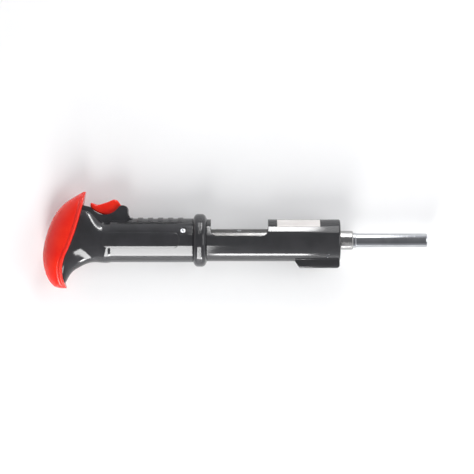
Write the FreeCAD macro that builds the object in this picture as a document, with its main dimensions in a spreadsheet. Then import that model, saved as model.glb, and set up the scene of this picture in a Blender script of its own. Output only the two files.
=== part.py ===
"""A single-shot powder-actuated fastening tool, lying on its left side as it is put down on a bench.

The row frame: +X runs along the bore and out of the muzzle, +Y points to the trigger side, and +Z points out
of the tool's right side. The origin is the centre of the muzzle face. All sizes are in millimetres.

How it works: the piston lies at the back of the barrel. The barrel is drawn forward to bring its chamber
into the loading window, and pushed back onto the breech. Pressing the muzzle against the work pushes barrel
and breech into the housing. The trigger then turns the sear, which lets the striker go.
"""

import FreeCAD
import Part
import Sketcher

import math
import os
import re

from FreeCAD import Placement, Rotation, Vector

# The driving dimensions: alias, value, what it is.
SIZES = [
    # fits
    ("run_gap", 0.08, "radial clearance of a part that slides in a bore"),
    ("seat_gap", 0.05, "radial clearance of a part that is seated in a bore"),
    ("free_gap", 0.4, "clearance between parts that must not touch"),
    # lengths along the bore, from the muzzle backwards
    ("rod_length", 66.6, "muzzle rod that shows ahead of the lock nut"),
    ("nut_length", 2.8, "lock nut behind the muzzle rod"),
    ("collar_length", 12.2, "slim part of the barrel that shows ahead of the housing"),
    ("front_length", 124.7, "front housing"),
    ("ring_width", 13.1, "guard ring between front and rear housing"),
    ("rear_length", 86.6, "round part of the rear housing"),
    ("grip_depth", 54.0, "grip, from the round part to the back of the palm"),
    # muzzle and barrel
    ("rod_radius", 6.5, "muzzle rod"),
    ("pocket_radius", 4.0, "fastener pocket in the muzzle rod"),
    ("pocket_depth", 76.0, "fastener pocket, long enough for a 3 inch pin"),
    ("shank_length", 14.6, "end of the muzzle rod inside the barrel"),
    ("shank_play", 0.12, "between that end and the barrel"),
    ("nut_rim", 0.9, "how far the lock nut stands out round the muzzle rod"),
    ("barrel_radius", 10.6, "rear part of the barrel, and the breech block"),
    ("slim_step", 1.7, "from the rear part of the barrel down to its slim front part"),
    ("bore_step", 0.1, "from the muzzle rod down to the piston bore"),
    ("slim_length", 61.6, "front part of the barrel"),
    ("chamber_radius", 2.9, "load chamber"),
    ("chamber_depth", 16.0, "load chamber"),
    ("port_length", 3.4, "gas port between chamber and piston bore"),
    ("port_radius", 1.8, "gas port"),
    ("rim_step", 0.8, "recess for the rim of the load, round the chamber"),
    ("rim_depth", 1.2, "recess for the rim of the load"),
    ("vent_radius", 1.8, "screw that closes the barrel's vent"),
    ("vent_ahead", 27.0, "vent screw ahead of the breech"),
    ("barrel_travel", 40.0, "draw of the barrel, from closed to open"),
    ("press_travel", 10.0, "how far the work pushes the barrel in"),
    # piston
    ("driver_step", 0.4, "from the fastener pocket down to the piston rod"),
    ("head_length", 11.5, "piston head"),
    ("ring_groove", 1.6, "width of the piston ring's groove"),
    ("ring_depth", 1.0, "depth of the piston ring's groove"),
    ("buffer_length", 7.6, "rubber buffer at the front of the piston bore"),
    # receiver
    ("tube_wall", 3.32, "wall of the receiver tube"),
    ("nose_length", 8.0, "nose bushing"),
    ("nose_step", 3.0, "from the receiver tube up to the nose bushing"),
    ("clip_thickness", 1.0, "snap ring ahead of the nose bushing"),
    ("clip_band", 2.4, "width of the snap ring's band"),
    ("window_length", 53.4, "loading window"),
    ("window_inset", 3.8, "from the guard ring to the loading window"),
    ("window_sill", 4.2, "height of the window's edge above the bore axis"),
    ("window_corner", 6.0, "rounding of the window's lower corners"),
    # housing
    ("front_wall", 5.7, "wall of the front housing"),
    ("body_wall", 6.6, "wall of the rear housing"),
    ("ring_rise", 4.2, "how far the guard ring stands out round the rear housing"),
    ("ring_crown", 4.2, "rounding of the guard ring's rim"),
    ("ring_seat", 0.4, "step of the rear housing at the guard ring"),
    ("lug_length", 42.2, "lug under the front housing"),
    ("lug_depth", 6.3, "how far the lug stands out below the front housing"),
    ("lug_width", 17.0, "lug"),
    ("lug_round", 3.0, "rounding of the lug's long edges"),
    ("edge_round", 1.4, "rounding of the housing's edges"),
    ("pawl_radius", 3.0, "nose of the pawl"),
    ("pawl_foot", 4.0, "foot of the pawl, and the plug under it"),
    ("foot_height", 3.2, "foot of the pawl"),
    ("pawl_play", 0.5, "from the pawl to the end of its slot, at each end of the barrel's travel"),
    ("label_ahead", 19.0, "from the label to the front of the housing"),
    ("label_margin", 8.5, "from the loading window to the label"),
    # breech and striker
    ("breech_length", 25.0, "breech block"),
    ("spring_room", 22.0, "room for the return spring"),
    ("guide_width", 4.0, "guide washer behind the return spring"),
    ("striker_length", 12.0, "striker head"),
    ("striker_step", 2.1, "from the breech block down to the striker head, and to the return spring"),
    ("stem_radius", 3.0, "firing pin"),
    ("tip_radius", 1.0, "tip of the firing pin"),
    ("tip_offset", 1.9, "tip of the firing pin, off the bore axis so that it strikes the rim of the load"),
    ("tip_length", 12.0, "tip of the firing pin"),
    ("tip_strike", 0.8, "how far the tip reaches past the breech block"),
    ("claw_width", 4.0, "extractor claw"),
    ("claw_height", 2.2, "extractor claw"),
    ("claw_sunk", 0.4, "how deep the claw lies below the breech block's surface"),
    ("claw_tail", 11.6, "extractor claw, behind the breech face"),
    ("claw_hook", 4.4, "extractor claw, ahead of the breech face"),
    ("claw_pin_radius", 0.8, "pin of the extractor claw"),
    ("claw_pin_back", 8.0, "pin of the extractor claw, behind the breech face"),
    ("main_spring_length", 26.0, "firing spring"),
    ("plug_length", 4.0, "rear plug inside the tube"),
    ("plug_flange", 2.6, "flange of the rear plug"),
    ("plug_ahead", 2.0, "from the start of the grip to the rear end of the receiver tube"),
    # trigger and sear
    ("pivot_ahead", 21.0, "trigger pivot ahead of the grip"),
    ("trigger_rise", 11.5, "trigger pivot above the sear pin"),
    ("trigger_width", 9.6, "trigger"),
    ("trigger_pin_radius", 1.5, "trigger pin"),
    ("boss_radius", 4.9, "housing boss round the trigger pin"),
    ("cheek_width", 18.0, "outside of the two trigger cheeks"),
    ("sear_rise", 2.4, "sear pin above the receiver tube"),
    ("sear_width", 6.0, "sear"),
    ("sear_tail", 14.0, "sear, behind its pin"),
    ("sear_reach", 10.6, "sear, ahead of its pin"),
    ("sear_lift", 0.35, "gap between the lifted sear and the striker head"),
    ("slot_floor", 2.2, "floor of the trigger slot above the receiver tube"),
    ("sear_pin_radius", 1.2, "sear pin"),
    # grip
    ("grip_top", 45.5, "top of the grip above the bore axis"),
    ("grip_bottom", 45.0, "bottom of the grip below the bore axis"),
    ("palm_depth", 27.0, "palm grip, front to back at its deepest"),
    ("palm_half_width", 18.0, "half the width of the palm grip"),
    ("pocket_width", 20.0, "hollow inside the grip core"),
    ("tongue_half_width", 7.0, "half the width of the tongue inside the palm grip"),
    # fasteners
    ("screw_radius", 1.25, "shank of a housing screw"),
    ("screw_head", 2.2, "head of a housing screw"),
    ("head_thickness", 1.8, "head of a housing screw"),
    ("insert_radius", 2.0, "brass insert"),
    ("cross_pin_radius", 1.5, "pin that locks the receiver tube in the front housing"),
    ("side_screw_angle", 28.0, "side screws, in degrees from the side towards the trigger"),
    ("vent_angle", 61.6, "vent screw, in degrees from the side towards the trigger"),
    # mouldings on the rear shells
    ("pad_height", 0.5, "how far the side pads and the ribs stand out"),
    ("pad_length", 72.0, "raised pad on each side"),
    ("pad_width", 14.4, "raised pad on each side"),
    ("rib_width", 5.0, "rib on the trigger side"),
    ("rib_pitch", 9.4, "from rib to rib"),
    ("rib_steps", 5.0, "steps from the first rib to the last"),
]
ALIASES = [alias for alias, value, note in SIZES]

# Sizes that follow from the driving ones, so that what fits together stays together.
DERIVED = {
    "nut_radius": "rod_radius + nut_rim",
    "slim_radius": "barrel_radius - slim_step",
    "piston_bore": "rod_radius - bore_step",
    "shank_radius": "piston_bore - shank_play",
    "rim_radius": "chamber_radius + rim_step",
    "driver_radius": "pocket_radius - driver_step",
    "tube_radius": "barrel_radius + run_gap + tube_wall",
    "nose_radius": "tube_radius + nose_step",
    "clip_inner": "nose_radius - clip_band",
    "front_radius": "tube_radius + front_wall",
    "body_radius": "tube_radius + body_wall",
    "ring_radius": "body_radius + ring_rise",
    "lug_drop": "front_radius + lug_depth",
    "striker_radius": "barrel_radius - striker_step",
    "claw_floor": "barrel_radius - claw_sunk - claw_height",
    "sear_height": "tube_radius + sear_rise",
    "pivot_height": "sear_height + trigger_rise",
    "screw_row": "(tube_radius + body_radius) / 2 - 0.4",
}
WORD = re.compile(r"[a-z_]+")

# Places along the bore, as sums of the sheet's words.
HOUSING_FRONT = "-(rod_length + nut_length + collar_length)"
RING_FRONT = f"({HOUSING_FRONT} - front_length)"
RING_REAR = f"({RING_FRONT} - ring_width)"
GRIP_START = f"({RING_REAR} - rear_length)"
BARREL_FRONT = "-(rod_length + nut_length)"
WINDOW_REAR = f"({RING_FRONT} + window_inset)"
LABEL_REAR = f"({WINDOW_REAR} + window_length + label_margin)"
LABEL_LENGTH = f"(-label_ahead + {HOUSING_FRONT} - {LABEL_REAR})"
BREECH_FACE = f"({WINDOW_REAR} - 0.5)"
BREECH_REAR = f"({BREECH_FACE} - breech_length)"
GUIDE_FRONT = f"({BREECH_REAR} - spring_room)"
TUBE_REAR = f"({GRIP_START} + plug_ahead)"
PLUG_FRONT = f"({TUBE_REAR} + plug_length)"
STRIKER_REAR = f"({PLUG_FRONT} + main_spring_length)"
STRIKER_FRONT = f"({STRIKER_REAR} + striker_length)"
TUBE_FRONT = f"({HOUSING_FRONT} - clip_thickness - nose_length - 0.5)"
SHANK_REAR = f"({BARREL_FRONT} - shank_length)"
BORE_REAR = f"({BREECH_FACE} + chamber_depth + port_length)"
HEAD_REAR = f"({BORE_REAR} + 1)"
PIVOT_X = f"({GRIP_START} + pivot_ahead)"
PAWL_X = f"({HOUSING_FRONT} - lug_length / 2)"
CROSS_PIN_X = f"({HOUSING_FRONT} - 12.2)"
CROSS_PIN_Y = "-(tube_radius + 0.4)"
SIDE_SCREW_X = f"({RING_REAR} - 9)"

SIDE_ANGLES = ("side_screw_angle * 1deg", "180deg - side_screw_angle * 1deg")

doc = FreeCAD.newDocument("NailGun")
sheet = doc.addObject("Spreadsheet::Sheet", "Dims")
nodes = []


# ---------------------------------------------------------------- helpers


def fill_sheet():
    """Writes one row for each driving dimension: its note, its value and its alias."""
    for row, (alias, value, note) in enumerate(SIZES, start=1):
        sheet.set(f"A{row}", note)
        sheet.set(f"B{row}", str(value))
        sheet.setAlias(f"B{row}", alias)
    doc.recompute()


def in_sheet(text):
    """The expression with each driving size pointed at its cell, and each derived size written out."""

    def swap(match):
        word = match.group(0)
        if word in DERIVED:
            return f"({in_sheet(DERIVED[word])})"
        return f"Dims.{word}" if word in ALIASES else word

    return WORD.sub(swap, text)


def bind(thing, prop, text):
    thing.setExpression(prop, in_sheet(str(text)))


def add_measures():
    """An object that holds the value of every size, for shapes that are built from Part's own curves."""
    holder = doc.addObject("App::FeaturePython", "Measures")
    for word in [*ALIASES, *DERIVED, "pivot_x"]:
        holder.addProperty("App::PropertyFloat", word)
        bind(holder, word, PIVOT_X if word == "pivot_x" else word)
    doc.recompute()


def measure(word):
    return getattr(doc.Measures, word)


def keep(thing, label):
    """Marks an object as a sub-part: its label names its file."""
    thing.Label = label
    nodes.append(thing)
    return thing


def outline_sketch(body, name, outline):
    """A closed outline of straight edges on the body's XY plane, each corner bound to two expressions."""
    sketch = body.newObject("Sketcher::SketchObject", name)
    plane = next(f for f in body.Origin.OriginFeatures if f.Role == "XY_Plane")
    sketch.AttachmentSupport = (plane, [""])
    sketch.MapMode = "FlatFace"
    count = len(outline)
    turn = 2 * math.pi / count
    first = [Vector(math.cos(k * turn), math.sin(k * turn), 0) for k in range(count)]
    for k in range(count):
        sketch.addGeometry(Part.LineSegment(first[k], first[(k + 1) % count]), False)
    for k in range(count):
        sketch.addConstraint(Sketcher.Constraint("Coincident", k, 2, (k + 1) % count, 1))
    for k, corner in enumerate(outline):
        for kind, text in zip(("DistanceX", "DistanceY"), corner):
            index = sketch.addConstraint(Sketcher.Constraint(kind, -1, 1, k, 1, 1.0))
            bind(sketch, f"Constraints[{index}]", text)
    return sketch


def turned(name, outline):
    """A PartDesign body turned about the bore axis from (place along the bore, radius) corners."""
    body = doc.addObject("PartDesign::Body", name)
    sketch = outline_sketch(body, name + "_outline", outline)
    turn = body.newObject("PartDesign::Revolution", name + "_turn")
    turn.Profile = (sketch, [""])
    turn.ReferenceAxis = (sketch, ["H_Axis"])
    turn.Angle = 360
    return body


def ring(name, rear, front, inner, outer):
    """A turned body with a plain bore."""
    return turned(name, [(rear, inner), (front, inner), (front, outer), (rear, outer)])


def plate(name, outline, width, rounding=None, corners=()):
    """A PartDesign pad of an outline in the XY plane, centred on Z. Some of its corners may be rounded."""
    body = doc.addObject("PartDesign::Body", name)
    sketch = outline_sketch(body, name + "_outline", outline)
    pad = body.newObject("PartDesign::Pad", name + "_pad")
    pad.Profile = (sketch, [""])
    pad.Midplane = True
    bind(pad, "Length", width)
    if corners:
        doc.recompute()
        spots = [sketch.Geometry[k].StartPoint for k in corners]
        edges = [
            f"Edge{n}"
            for n, edge in enumerate(pad.Shape.Edges, start=1)
            if any(all(math.hypot(v.X - s.x, v.Y - s.y) < 1e-4 for v in edge.Vertexes) for s in spots)
        ]
        fillet = body.newObject("PartDesign::Fillet", name + "_round")
        fillet.Base = (pad, edges)
        bind(fillet, "Radius", rounding)
    return body


TURN_TO = {
    "x": Rotation(Vector(0, 1, 0), 90),
    "y": Rotation(Vector(1, 0, 0), -90),
    "z": Rotation(),
}


def put(thing, x=0, y=0, z=0, axis="z"):
    """Places a primitive, its own axis turned to a row axis, at bound coordinates."""
    thing.Placement = Placement(Vector(), TURN_TO[axis])
    for letter, text in zip("xyz", (x, y, z)):
        bind(thing, f".Placement.Base.{letter}", text)
    return thing


def drum(name, radius, length, x=0, y=0, z=0, axis="z"):
    """A cylinder that starts at (x, y, z) and runs along a row axis."""
    thing = doc.addObject("Part::Cylinder", name)
    bind(thing, "Radius", radius)
    bind(thing, "Height", length)
    return put(thing, x, y, z, axis)


def radial_drum(name, radius, length, x, start, angle):
    """A cylinder square to the bore axis. Its angle is counted from the right side towards the trigger."""
    thing = doc.addObject("Part::Cylinder", name)
    bind(thing, "Radius", radius)
    bind(thing, "Height", length)
    thing.Placement = Placement(Vector(), Rotation(Vector(1, 0, 0), -10))
    bind(thing, ".Placement.Rotation.Angle", angle)
    thing.Placement.Rotation.Axis = Vector(-1, 0, 0)
    bind(thing, ".Placement.Base.x", x)
    bind(thing, ".Placement.Base.y", f"({start}) * sin({angle})")
    bind(thing, ".Placement.Base.z", f"({start}) * cos({angle})")
    return thing


def block(name, long, high, wide, x, y, z=None):
    """A box from its lowest corner. With no z it is centred on the XY plane."""
    thing = doc.addObject("Part::Box", name)
    bind(thing, "Length", long)
    bind(thing, "Width", high)
    bind(thing, "Height", wide)
    return put(thing, x, y, f"-({wide}) / 2" if z is None else z)


def fused(name, *shapes):
    thing = doc.addObject("Part::MultiFuse", name)
    thing.Shapes = list(shapes)
    return thing


def cut(name, base, *tools):
    thing = doc.addObject("Part::Cut", name)
    thing.Base = base
    thing.Tool = tools[0] if len(tools) == 1 else fused(name + "_tools", *tools)
    return thing


def common(name, base, tool):
    thing = doc.addObject("Part::Common", name)
    thing.Base = base
    thing.Tool = tool
    return thing


def oval(name, major, minor, x, y, facing):
    """An ellipse on the XY plane's middle, facing along the bore ("x") or along the grip ("y")."""
    thing = doc.addObject("Part::Ellipse", name)
    bind(thing, "MajorRadius", major)
    bind(thing, "MinorRadius", minor)
    turn = Rotation(Vector(1, 1, 1), 120) if facing == "x" else Rotation(Vector(1, 0, 0), 90)
    thing.Placement = Placement(Vector(), turn)
    bind(thing, ".Placement.Base.x", x)
    bind(thing, ".Placement.Base.y", y)
    return thing


def loft(name, sections):
    thing = doc.addObject("Part::Loft", name)
    thing.Sections = sections
    thing.Solid = True
    thing.Ruled = False
    return thing


def coil(label, start, length, turns, radius, wire, axis="x", y=0):
    """A compression spring along the bore, or standing up along Y, swept along a helix."""
    helix = doc.addObject("Part::Helix", label + "_helix")
    bind(helix, "Height", length)
    bind(helix, "Pitch", f"({length}) / {turns}")
    bind(helix, "Radius", radius)
    put(helix, start, y, 0, axis)
    wire_end = doc.addObject("Part::Circle", label + "_wire")
    wire_end.Radius = wire
    stand = Placement(Vector(), TURN_TO[axis]) * Placement(Vector(), Rotation(Vector(1, 0, 0), 90))
    wire_end.Placement = stand
    if axis == "x":
        bind(wire_end, ".Placement.Base.x", start)
        bind(wire_end, ".Placement.Base.z", f"-({radius})")
    else:
        bind(wire_end, ".Placement.Base.x", f"{start} + {radius}")
        bind(wire_end, ".Placement.Base.y", y)
    sweep = doc.addObject("Part::Sweep", label)
    sweep.Sections = [wire_end]
    sweep.Spine = (helix, [])
    sweep.Solid = True
    sweep.Frenet = True
    return keep(sweep, label)


def solid_of(label, shape):
    """A sub-part whose shape was built from Part's own curves."""
    thing = doc.addObject("Part::Feature", label)
    thing.Shape = shape
    thing.Placement = Placement()
    return thing


# ---------------------------------------------------------------- muzzle, barrel, piston


def muzzle_rod():
    """The tube that is pressed to the work: its front pocket takes the fastener, its end guides the driver."""
    lip = 1.2
    rod = turned(
        "MuzzleRod",
        [
            (f"-{lip}", "rod_radius"),
            ("-rod_length", "rod_radius"),
            ("-rod_length", "shank_radius"),
            (SHANK_REAR, "shank_radius"),
            (SHANK_REAR, "driver_radius + run_gap"),
            ("-pocket_depth", "driver_radius + run_gap"),
            ("-pocket_depth", "pocket_radius"),
            ("0", "pocket_radius"),
            ("0", f"rod_radius - {lip * 0.7}"),
            ("-0.35", f"rod_radius - {lip * 0.3}"),
        ],
    )
    keep(rod, "muzzle_rod")


def lock_nut():
    """The narrow nut that locks the muzzle rod in the barrel, chamfered in front, with two spanner flats."""
    body = turned(
        "LockNutBody",
        [
            (BARREL_FRONT, "shank_radius + seat_gap"),
            ("-rod_length", "shank_radius + seat_gap"),
            ("-rod_length", "nut_radius - 0.6"),
            ("-rod_length - 0.6", "nut_radius"),
            (BARREL_FRONT, "nut_radius"),
        ],
    )
    flat = {
        side: block(
            f"NutFlat{n}", "nut_length", "nut_radius", "nut_radius * 2", BARREL_FRONT, place
        )
        for n, (side, place) in enumerate((("up", "nut_radius - 0.5"), ("down", "0.5 - nut_radius * 2")))
    }
    keep(cut("LockNut", body, flat["up"], flat["down"]), "muzzle_lock_nut")


def barrel():
    """The sliding barrel: chamber at its rear face, piston bore ahead of it, and a stop slot underneath."""
    body = turned(
        "BarrelBody",
        [
            (BARREL_FRONT, "piston_bore"),
            (BARREL_FRONT, "slim_radius - 1"),
            (f"{BARREL_FRONT} - 1", "slim_radius"),
            (f"{BARREL_FRONT} - slim_length", "slim_radius"),
            (f"{BARREL_FRONT} - slim_length", "barrel_radius - 0.5"),
            (f"{BARREL_FRONT} - slim_length - 0.5", "barrel_radius"),
            (f"{BREECH_FACE} + 0.6", "barrel_radius"),
            (BREECH_FACE, "barrel_radius - 0.6"),
            (BREECH_FACE, "rim_radius"),
            (f"{BREECH_FACE} + rim_depth", "rim_radius"),
            (f"{BREECH_FACE} + rim_depth", "chamber_radius"),
            (f"{BREECH_FACE} + chamber_depth", "chamber_radius"),
            (f"{BREECH_FACE} + chamber_depth", "port_radius"),
            (BORE_REAR, "port_radius"),
            (BORE_REAR, "piston_bore"),
        ],
    )
    slot = block(
        "StopSlot",
        "barrel_travel + press_travel + 2 * (pawl_radius + pawl_play)",
        "barrel_radius",
        "2 * pawl_radius + 0.2",
        f"{PAWL_X} - barrel_travel - pawl_radius - pawl_play",
        "-(slim_radius + piston_bore) / 2 - barrel_radius",
    )
    claw_slot = block(
        "ClawSlot", "claw_hook + 0.6", "5", "claw_width + 0.8", BREECH_FACE, "claw_floor - 0.2"
    )
    screw_x = f"({BREECH_FACE} + vent_ahead)"
    seat = "(barrel_radius - 3)"
    screw_hole = radial_drum("VentHole", "vent_radius", "8", screw_x, seat, "vent_angle * 1deg")
    keep(cut("Barrel", body, slot, claw_slot, screw_hole), "barrel")

    plug = radial_drum("VentPlug", "vent_radius - seat_gap", "2.85", screw_x, seat, "vent_angle * 1deg")
    socket = radial_drum("VentSocket", "0.8", "4", screw_x, "(barrel_radius - 1.6)", "vent_angle * 1deg")
    keep(cut("VentScrew", plug, socket), "vent_screw")


def buffer_ring():
    """The rubber ring that stops the piston at the front of its bore."""
    ring_body = ring(
        "Buffer", f"{SHANK_REAR} - buffer_length", SHANK_REAR, "driver_radius + 0.3", "piston_bore - 0.1"
    )
    keep(ring_body, "piston_buffer")


def piston():
    """The piston: a grooved head at the back of the bore and a long driver rod ahead of it."""
    groove_rear = f"({HEAD_REAR} + 3)"
    groove_front = f"({groove_rear} + ring_groove)"
    body = turned(
        "Piston",
        [
            (HEAD_REAR, "0"),
            (HEAD_REAR, "piston_bore - run_gap - 0.8"),
            (f"{HEAD_REAR} + 0.8", "piston_bore - run_gap"),
            (groove_rear, "piston_bore - run_gap"),
            (groove_rear, "piston_bore - ring_depth"),
            (groove_front, "piston_bore - ring_depth"),
            (groove_front, "piston_bore - run_gap"),
            (f"{HEAD_REAR} + head_length - 2", "piston_bore - run_gap"),
            (f"{HEAD_REAR} + head_length", "driver_radius"),
            ("-pocket_depth - 2.5", "driver_radius"),
            ("-pocket_depth - 2", "driver_radius - 0.5"),
            ("-pocket_depth - 2", "0"),
        ],
    )
    keep(body, "piston")
    band = ring(
        "RingBand",
        f"{groove_rear} + 0.05",
        f"{groove_front} - 0.05",
        "piston_bore - ring_depth + 0.05",
        "piston_bore - 0.03",
    )
    gap = block("RingGap", "ring_groove", "piston_bore", "0.6", groove_rear, "0")
    keep(cut("PistonRing", band, gap), "piston_ring")


# ---------------------------------------------------------------- receiver and breech


def window_tool(name, width):
    """The block that cuts the loading window from the trigger side, its two lower corners rounded."""
    front = f"{WINDOW_REAR} + window_length"
    corners = [
        (WINDOW_REAR, "window_sill"),
        (front, "window_sill"),
        (front, "ring_radius * 2"),
        (WINDOW_REAR, "ring_radius * 2"),
    ]
    return plate(name, corners, width, "window_corner", (0, 1))


def receiver_tube():
    """The steel tube that guides barrel and breech, with its window, the sear slot and the pawl's hole."""
    body = ring("TubeBody", TUBE_REAR, TUBE_FRONT, "barrel_radius + run_gap", "tube_radius")
    window = window_tool("TubeWindow", "tube_radius * 3")
    sear_slot = block(
        "SearSlot",
        "sear_tail + sear_reach + 3.8",
        "tube_radius",
        "sear_width + 1.4",
        f"{PIVOT_X} - sear_tail - 1.5",
        "0",
    )
    pawl_hole = drum("PawlHole", "pawl_radius + 0.2", "tube_radius", PAWL_X, "-tube_radius - 1", 0, "y")
    pin_x = f"{GUIDE_FRONT} - guide_width / 2"
    pin_hole = drum("GuidePinHole", "1.05", "2 * tube_radius + 2", pin_x, "-tube_radius - 1", 0, "y")
    cross_hole = drum(
        "TubeCrossHole", "cross_pin_radius + seat_gap", "30", CROSS_PIN_X, CROSS_PIN_Y, "-15"
    )
    side_holes = [
        radial_drum(f"TubeSideHole{n}", "1.55", "8", SIDE_SCREW_X, "barrel_radius - 2", angle)
        for n, angle in enumerate(SIDE_ANGLES)
    ]
    keep(
        cut("ReceiverTube", body, window, sear_slot, pawl_hole, cross_hole, pin_hole, *side_holes),
        "receiver_tube",
    )


def nose_parts():
    """The bushing that guides the slim part of the barrel, and the snap ring that holds it."""
    front = f"({HOUSING_FRONT} - clip_thickness)"
    bushing = ring("NoseBushing", f"{front} - nose_length", front, "slim_radius + run_gap", "nose_radius")
    keep(bushing, "nose_bushing")
    band = ring("ClipBand", front, HOUSING_FRONT, "clip_inner", "nose_radius")
    gap = block("ClipGap", "clip_thickness", "nose_radius", "5", front, "-nose_radius")
    ears = [
        drum(
            f"ClipHole{n}", "0.6", "clip_thickness", front, "-(nose_radius + clip_inner) / 2", side * 3.6, "x"
        )
        for n, side in enumerate((-1, 1))
    ]
    keep(cut("NoseClip", band, gap, *ears), "nose_snap_ring")


def front_housing():
    """The black front housing: a tube with the loading window, and a lug for the pawl underneath."""
    body = turned(
        "FrontBody",
        [
            (RING_FRONT, "tube_radius + seat_gap"),
            (TUBE_FRONT, "tube_radius + seat_gap"),
            (TUBE_FRONT, "nose_radius + seat_gap"),
            (HOUSING_FRONT, "nose_radius + seat_gap"),
            (HOUSING_FRONT, "front_radius - edge_round"),
            (f"{HOUSING_FRONT} - 0.4", "front_radius - 0.4"),
            (f"{HOUSING_FRONT} - edge_round", "front_radius"),
            (RING_FRONT, "front_radius"),
        ],
    )
    lug = doc.addObject("PartDesign::Body", "Lug")
    sketch = outline_sketch(
        lug,
        "Lug_outline",
        [
            (f"{HOUSING_FRONT} - 0.6", "-tube_radius"),
            (f"{HOUSING_FRONT} - 0.6", "-lug_drop"),
            (f"{HOUSING_FRONT} - lug_length + 4", "-lug_drop"),
            (f"{HOUSING_FRONT} - lug_length", "-front_radius"),
            (f"{HOUSING_FRONT} - lug_length", "-tube_radius"),
        ],
    )
    pad = lug.newObject("PartDesign::Pad", "Lug_pad")
    pad.Profile = (sketch, [""])
    pad.Midplane = True
    bind(pad, "Length", "lug_width")
    bore = drum("LugBore", "tube_radius + seat_gap", "front_length + 2", f"{RING_FRONT} - 1", 0, 0, "x")
    nose_bore = drum(
        "NoseBore", "nose_radius + seat_gap", f"-({TUBE_FRONT}) + {HOUSING_FRONT}", TUBE_FRONT, 0, 0, "x"
    )
    doc.recompute()
    drop = measure("lug_drop")
    low_edges = [
        f"Edge{n}"
        for n, edge in enumerate(pad.Shape.Edges, start=1)
        if all(vertex.Y < 1 - drop for vertex in edge.Vertexes)
    ]
    fillet = lug.newObject("PartDesign::Fillet", "Lug_round")
    fillet.Base = (pad, low_edges)
    bind(fillet, "Radius", "lug_round")
    pawl_bore = drum("PawlBore", "pawl_foot + 0.2", "lug_drop", PAWL_X, "-lug_drop - 1", 0, "y")
    cross_hole = drum(
        "HousingCrossHole", "cross_pin_radius + seat_gap / 2", "60", CROSS_PIN_X, CROSS_PIN_Y, "-30"
    )
    window = window_tool("FrontWindow", "front_radius * 3")
    shell = fused("FrontShell", body, lug)
    keep(cut("FrontHousing", shell, bore, nose_bore, pawl_bore, cross_hole, window), "front_housing")
    keep(
        drum("CrossPin", "cross_pin_radius", "25.4", CROSS_PIN_X, CROSS_PIN_Y, "-12.7"), "front_cross_pin"
    )


def pawl_parts():
    """The pawl that rides in the barrel's slot and stops it, its spring, and the plug that closes the lug."""
    floor = "(slim_radius + piston_bore) / 2"
    nose_top = f"(-{floor} - 0.3)"
    foot_top = "(-tube_radius - 0.3)"
    foot = drum("PawlFoot", "pawl_foot", "foot_height", PAWL_X, f"{foot_top} - foot_height", 0, "y")
    nose = drum("PawlNose", "pawl_radius", f"{nose_top} - {foot_top} + 1", PAWL_X, f"{foot_top} - 1", 0, "y")
    keep(fused("StopPawl", foot, nose), "stop_pawl")
    plug_top = "(-lug_drop + 3)"
    plug = drum("PlugBody", "pawl_foot + 0.1", "3", PAWL_X, "-lug_drop", 0, "y")
    slot = block("PlugSlot", "2 * pawl_foot + 1", "1.2", "1.2", f"{PAWL_X} - pawl_foot - 0.5", "-lug_drop")
    keep(cut("PawlPlug", plug, slot), "pawl_plug")
    room = f"({foot_top} - foot_height - {plug_top})"
    coil("pawl_spring", PAWL_X, f"{room} - 1.2", 3, "pawl_foot - 1.4", 0.45, "y", f"{plug_top} + 0.6")


def breech_parts():
    """The breech block with its firing pin hole and claw slot, and the claw that draws the spent load."""
    shoulder = f"({BREECH_FACE} - tip_length + 2)"
    body = turned(
        "BreechBody",
        [
            (BREECH_REAR, "stem_radius + run_gap"),
            (shoulder, "stem_radius + run_gap"),
            (shoulder, "0"),
            (BREECH_FACE, "0"),
            (BREECH_FACE, "barrel_radius - 0.5"),
            (f"{BREECH_FACE} - 0.5", "barrel_radius"),
            (f"{BREECH_REAR} + 0.5", "barrel_radius"),
            (BREECH_REAR, "barrel_radius - 0.5"),
        ],
    )
    tip_hole = drum("TipHole", "tip_radius + run_gap", "tip_length", f"{shoulder} - 1", "tip_offset", 0, "x")
    claw_slot = block(
        "BreechClawSlot",
        "claw_tail + 2.4",
        "5",
        "claw_width + 0.2",
        f"{BREECH_FACE} - claw_tail - 0.4",
        "claw_floor - 0.1",
    )
    pin_x, pin_y = f"{BREECH_FACE} - claw_pin_back", "claw_floor + claw_height / 2 + 0.1"
    pin_hole = drum("ClawPinHole", "claw_pin_radius + seat_gap", "claw_width + 8", pin_x, pin_y, "-6")
    keep(cut("BreechBlock", body, tip_hole, claw_slot, pin_hole), "breech_block")

    claw = plate(
        "ClawPlate",
        [
            (f"{BREECH_FACE} - claw_tail", "claw_floor"),
            (f"{BREECH_FACE} + claw_hook - 0.8", "claw_floor"),
            (f"{BREECH_FACE} + claw_hook", "claw_floor + 0.8"),
            (f"{BREECH_FACE} + claw_hook - 1.4", "claw_floor + claw_height"),
            (f"{BREECH_FACE} - claw_tail", "claw_floor + claw_height"),
        ],
        "claw_width",
    )
    claw_hole = drum("ClawHole", "claw_pin_radius + seat_gap", "8", pin_x, pin_y, "-4")
    keep(cut("Extractor", claw, claw_hole), "extractor_claw")
    keep(drum("ExtractorPin", "claw_pin_radius", "8", pin_x, pin_y, "-4"), "extractor_pin")


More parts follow.
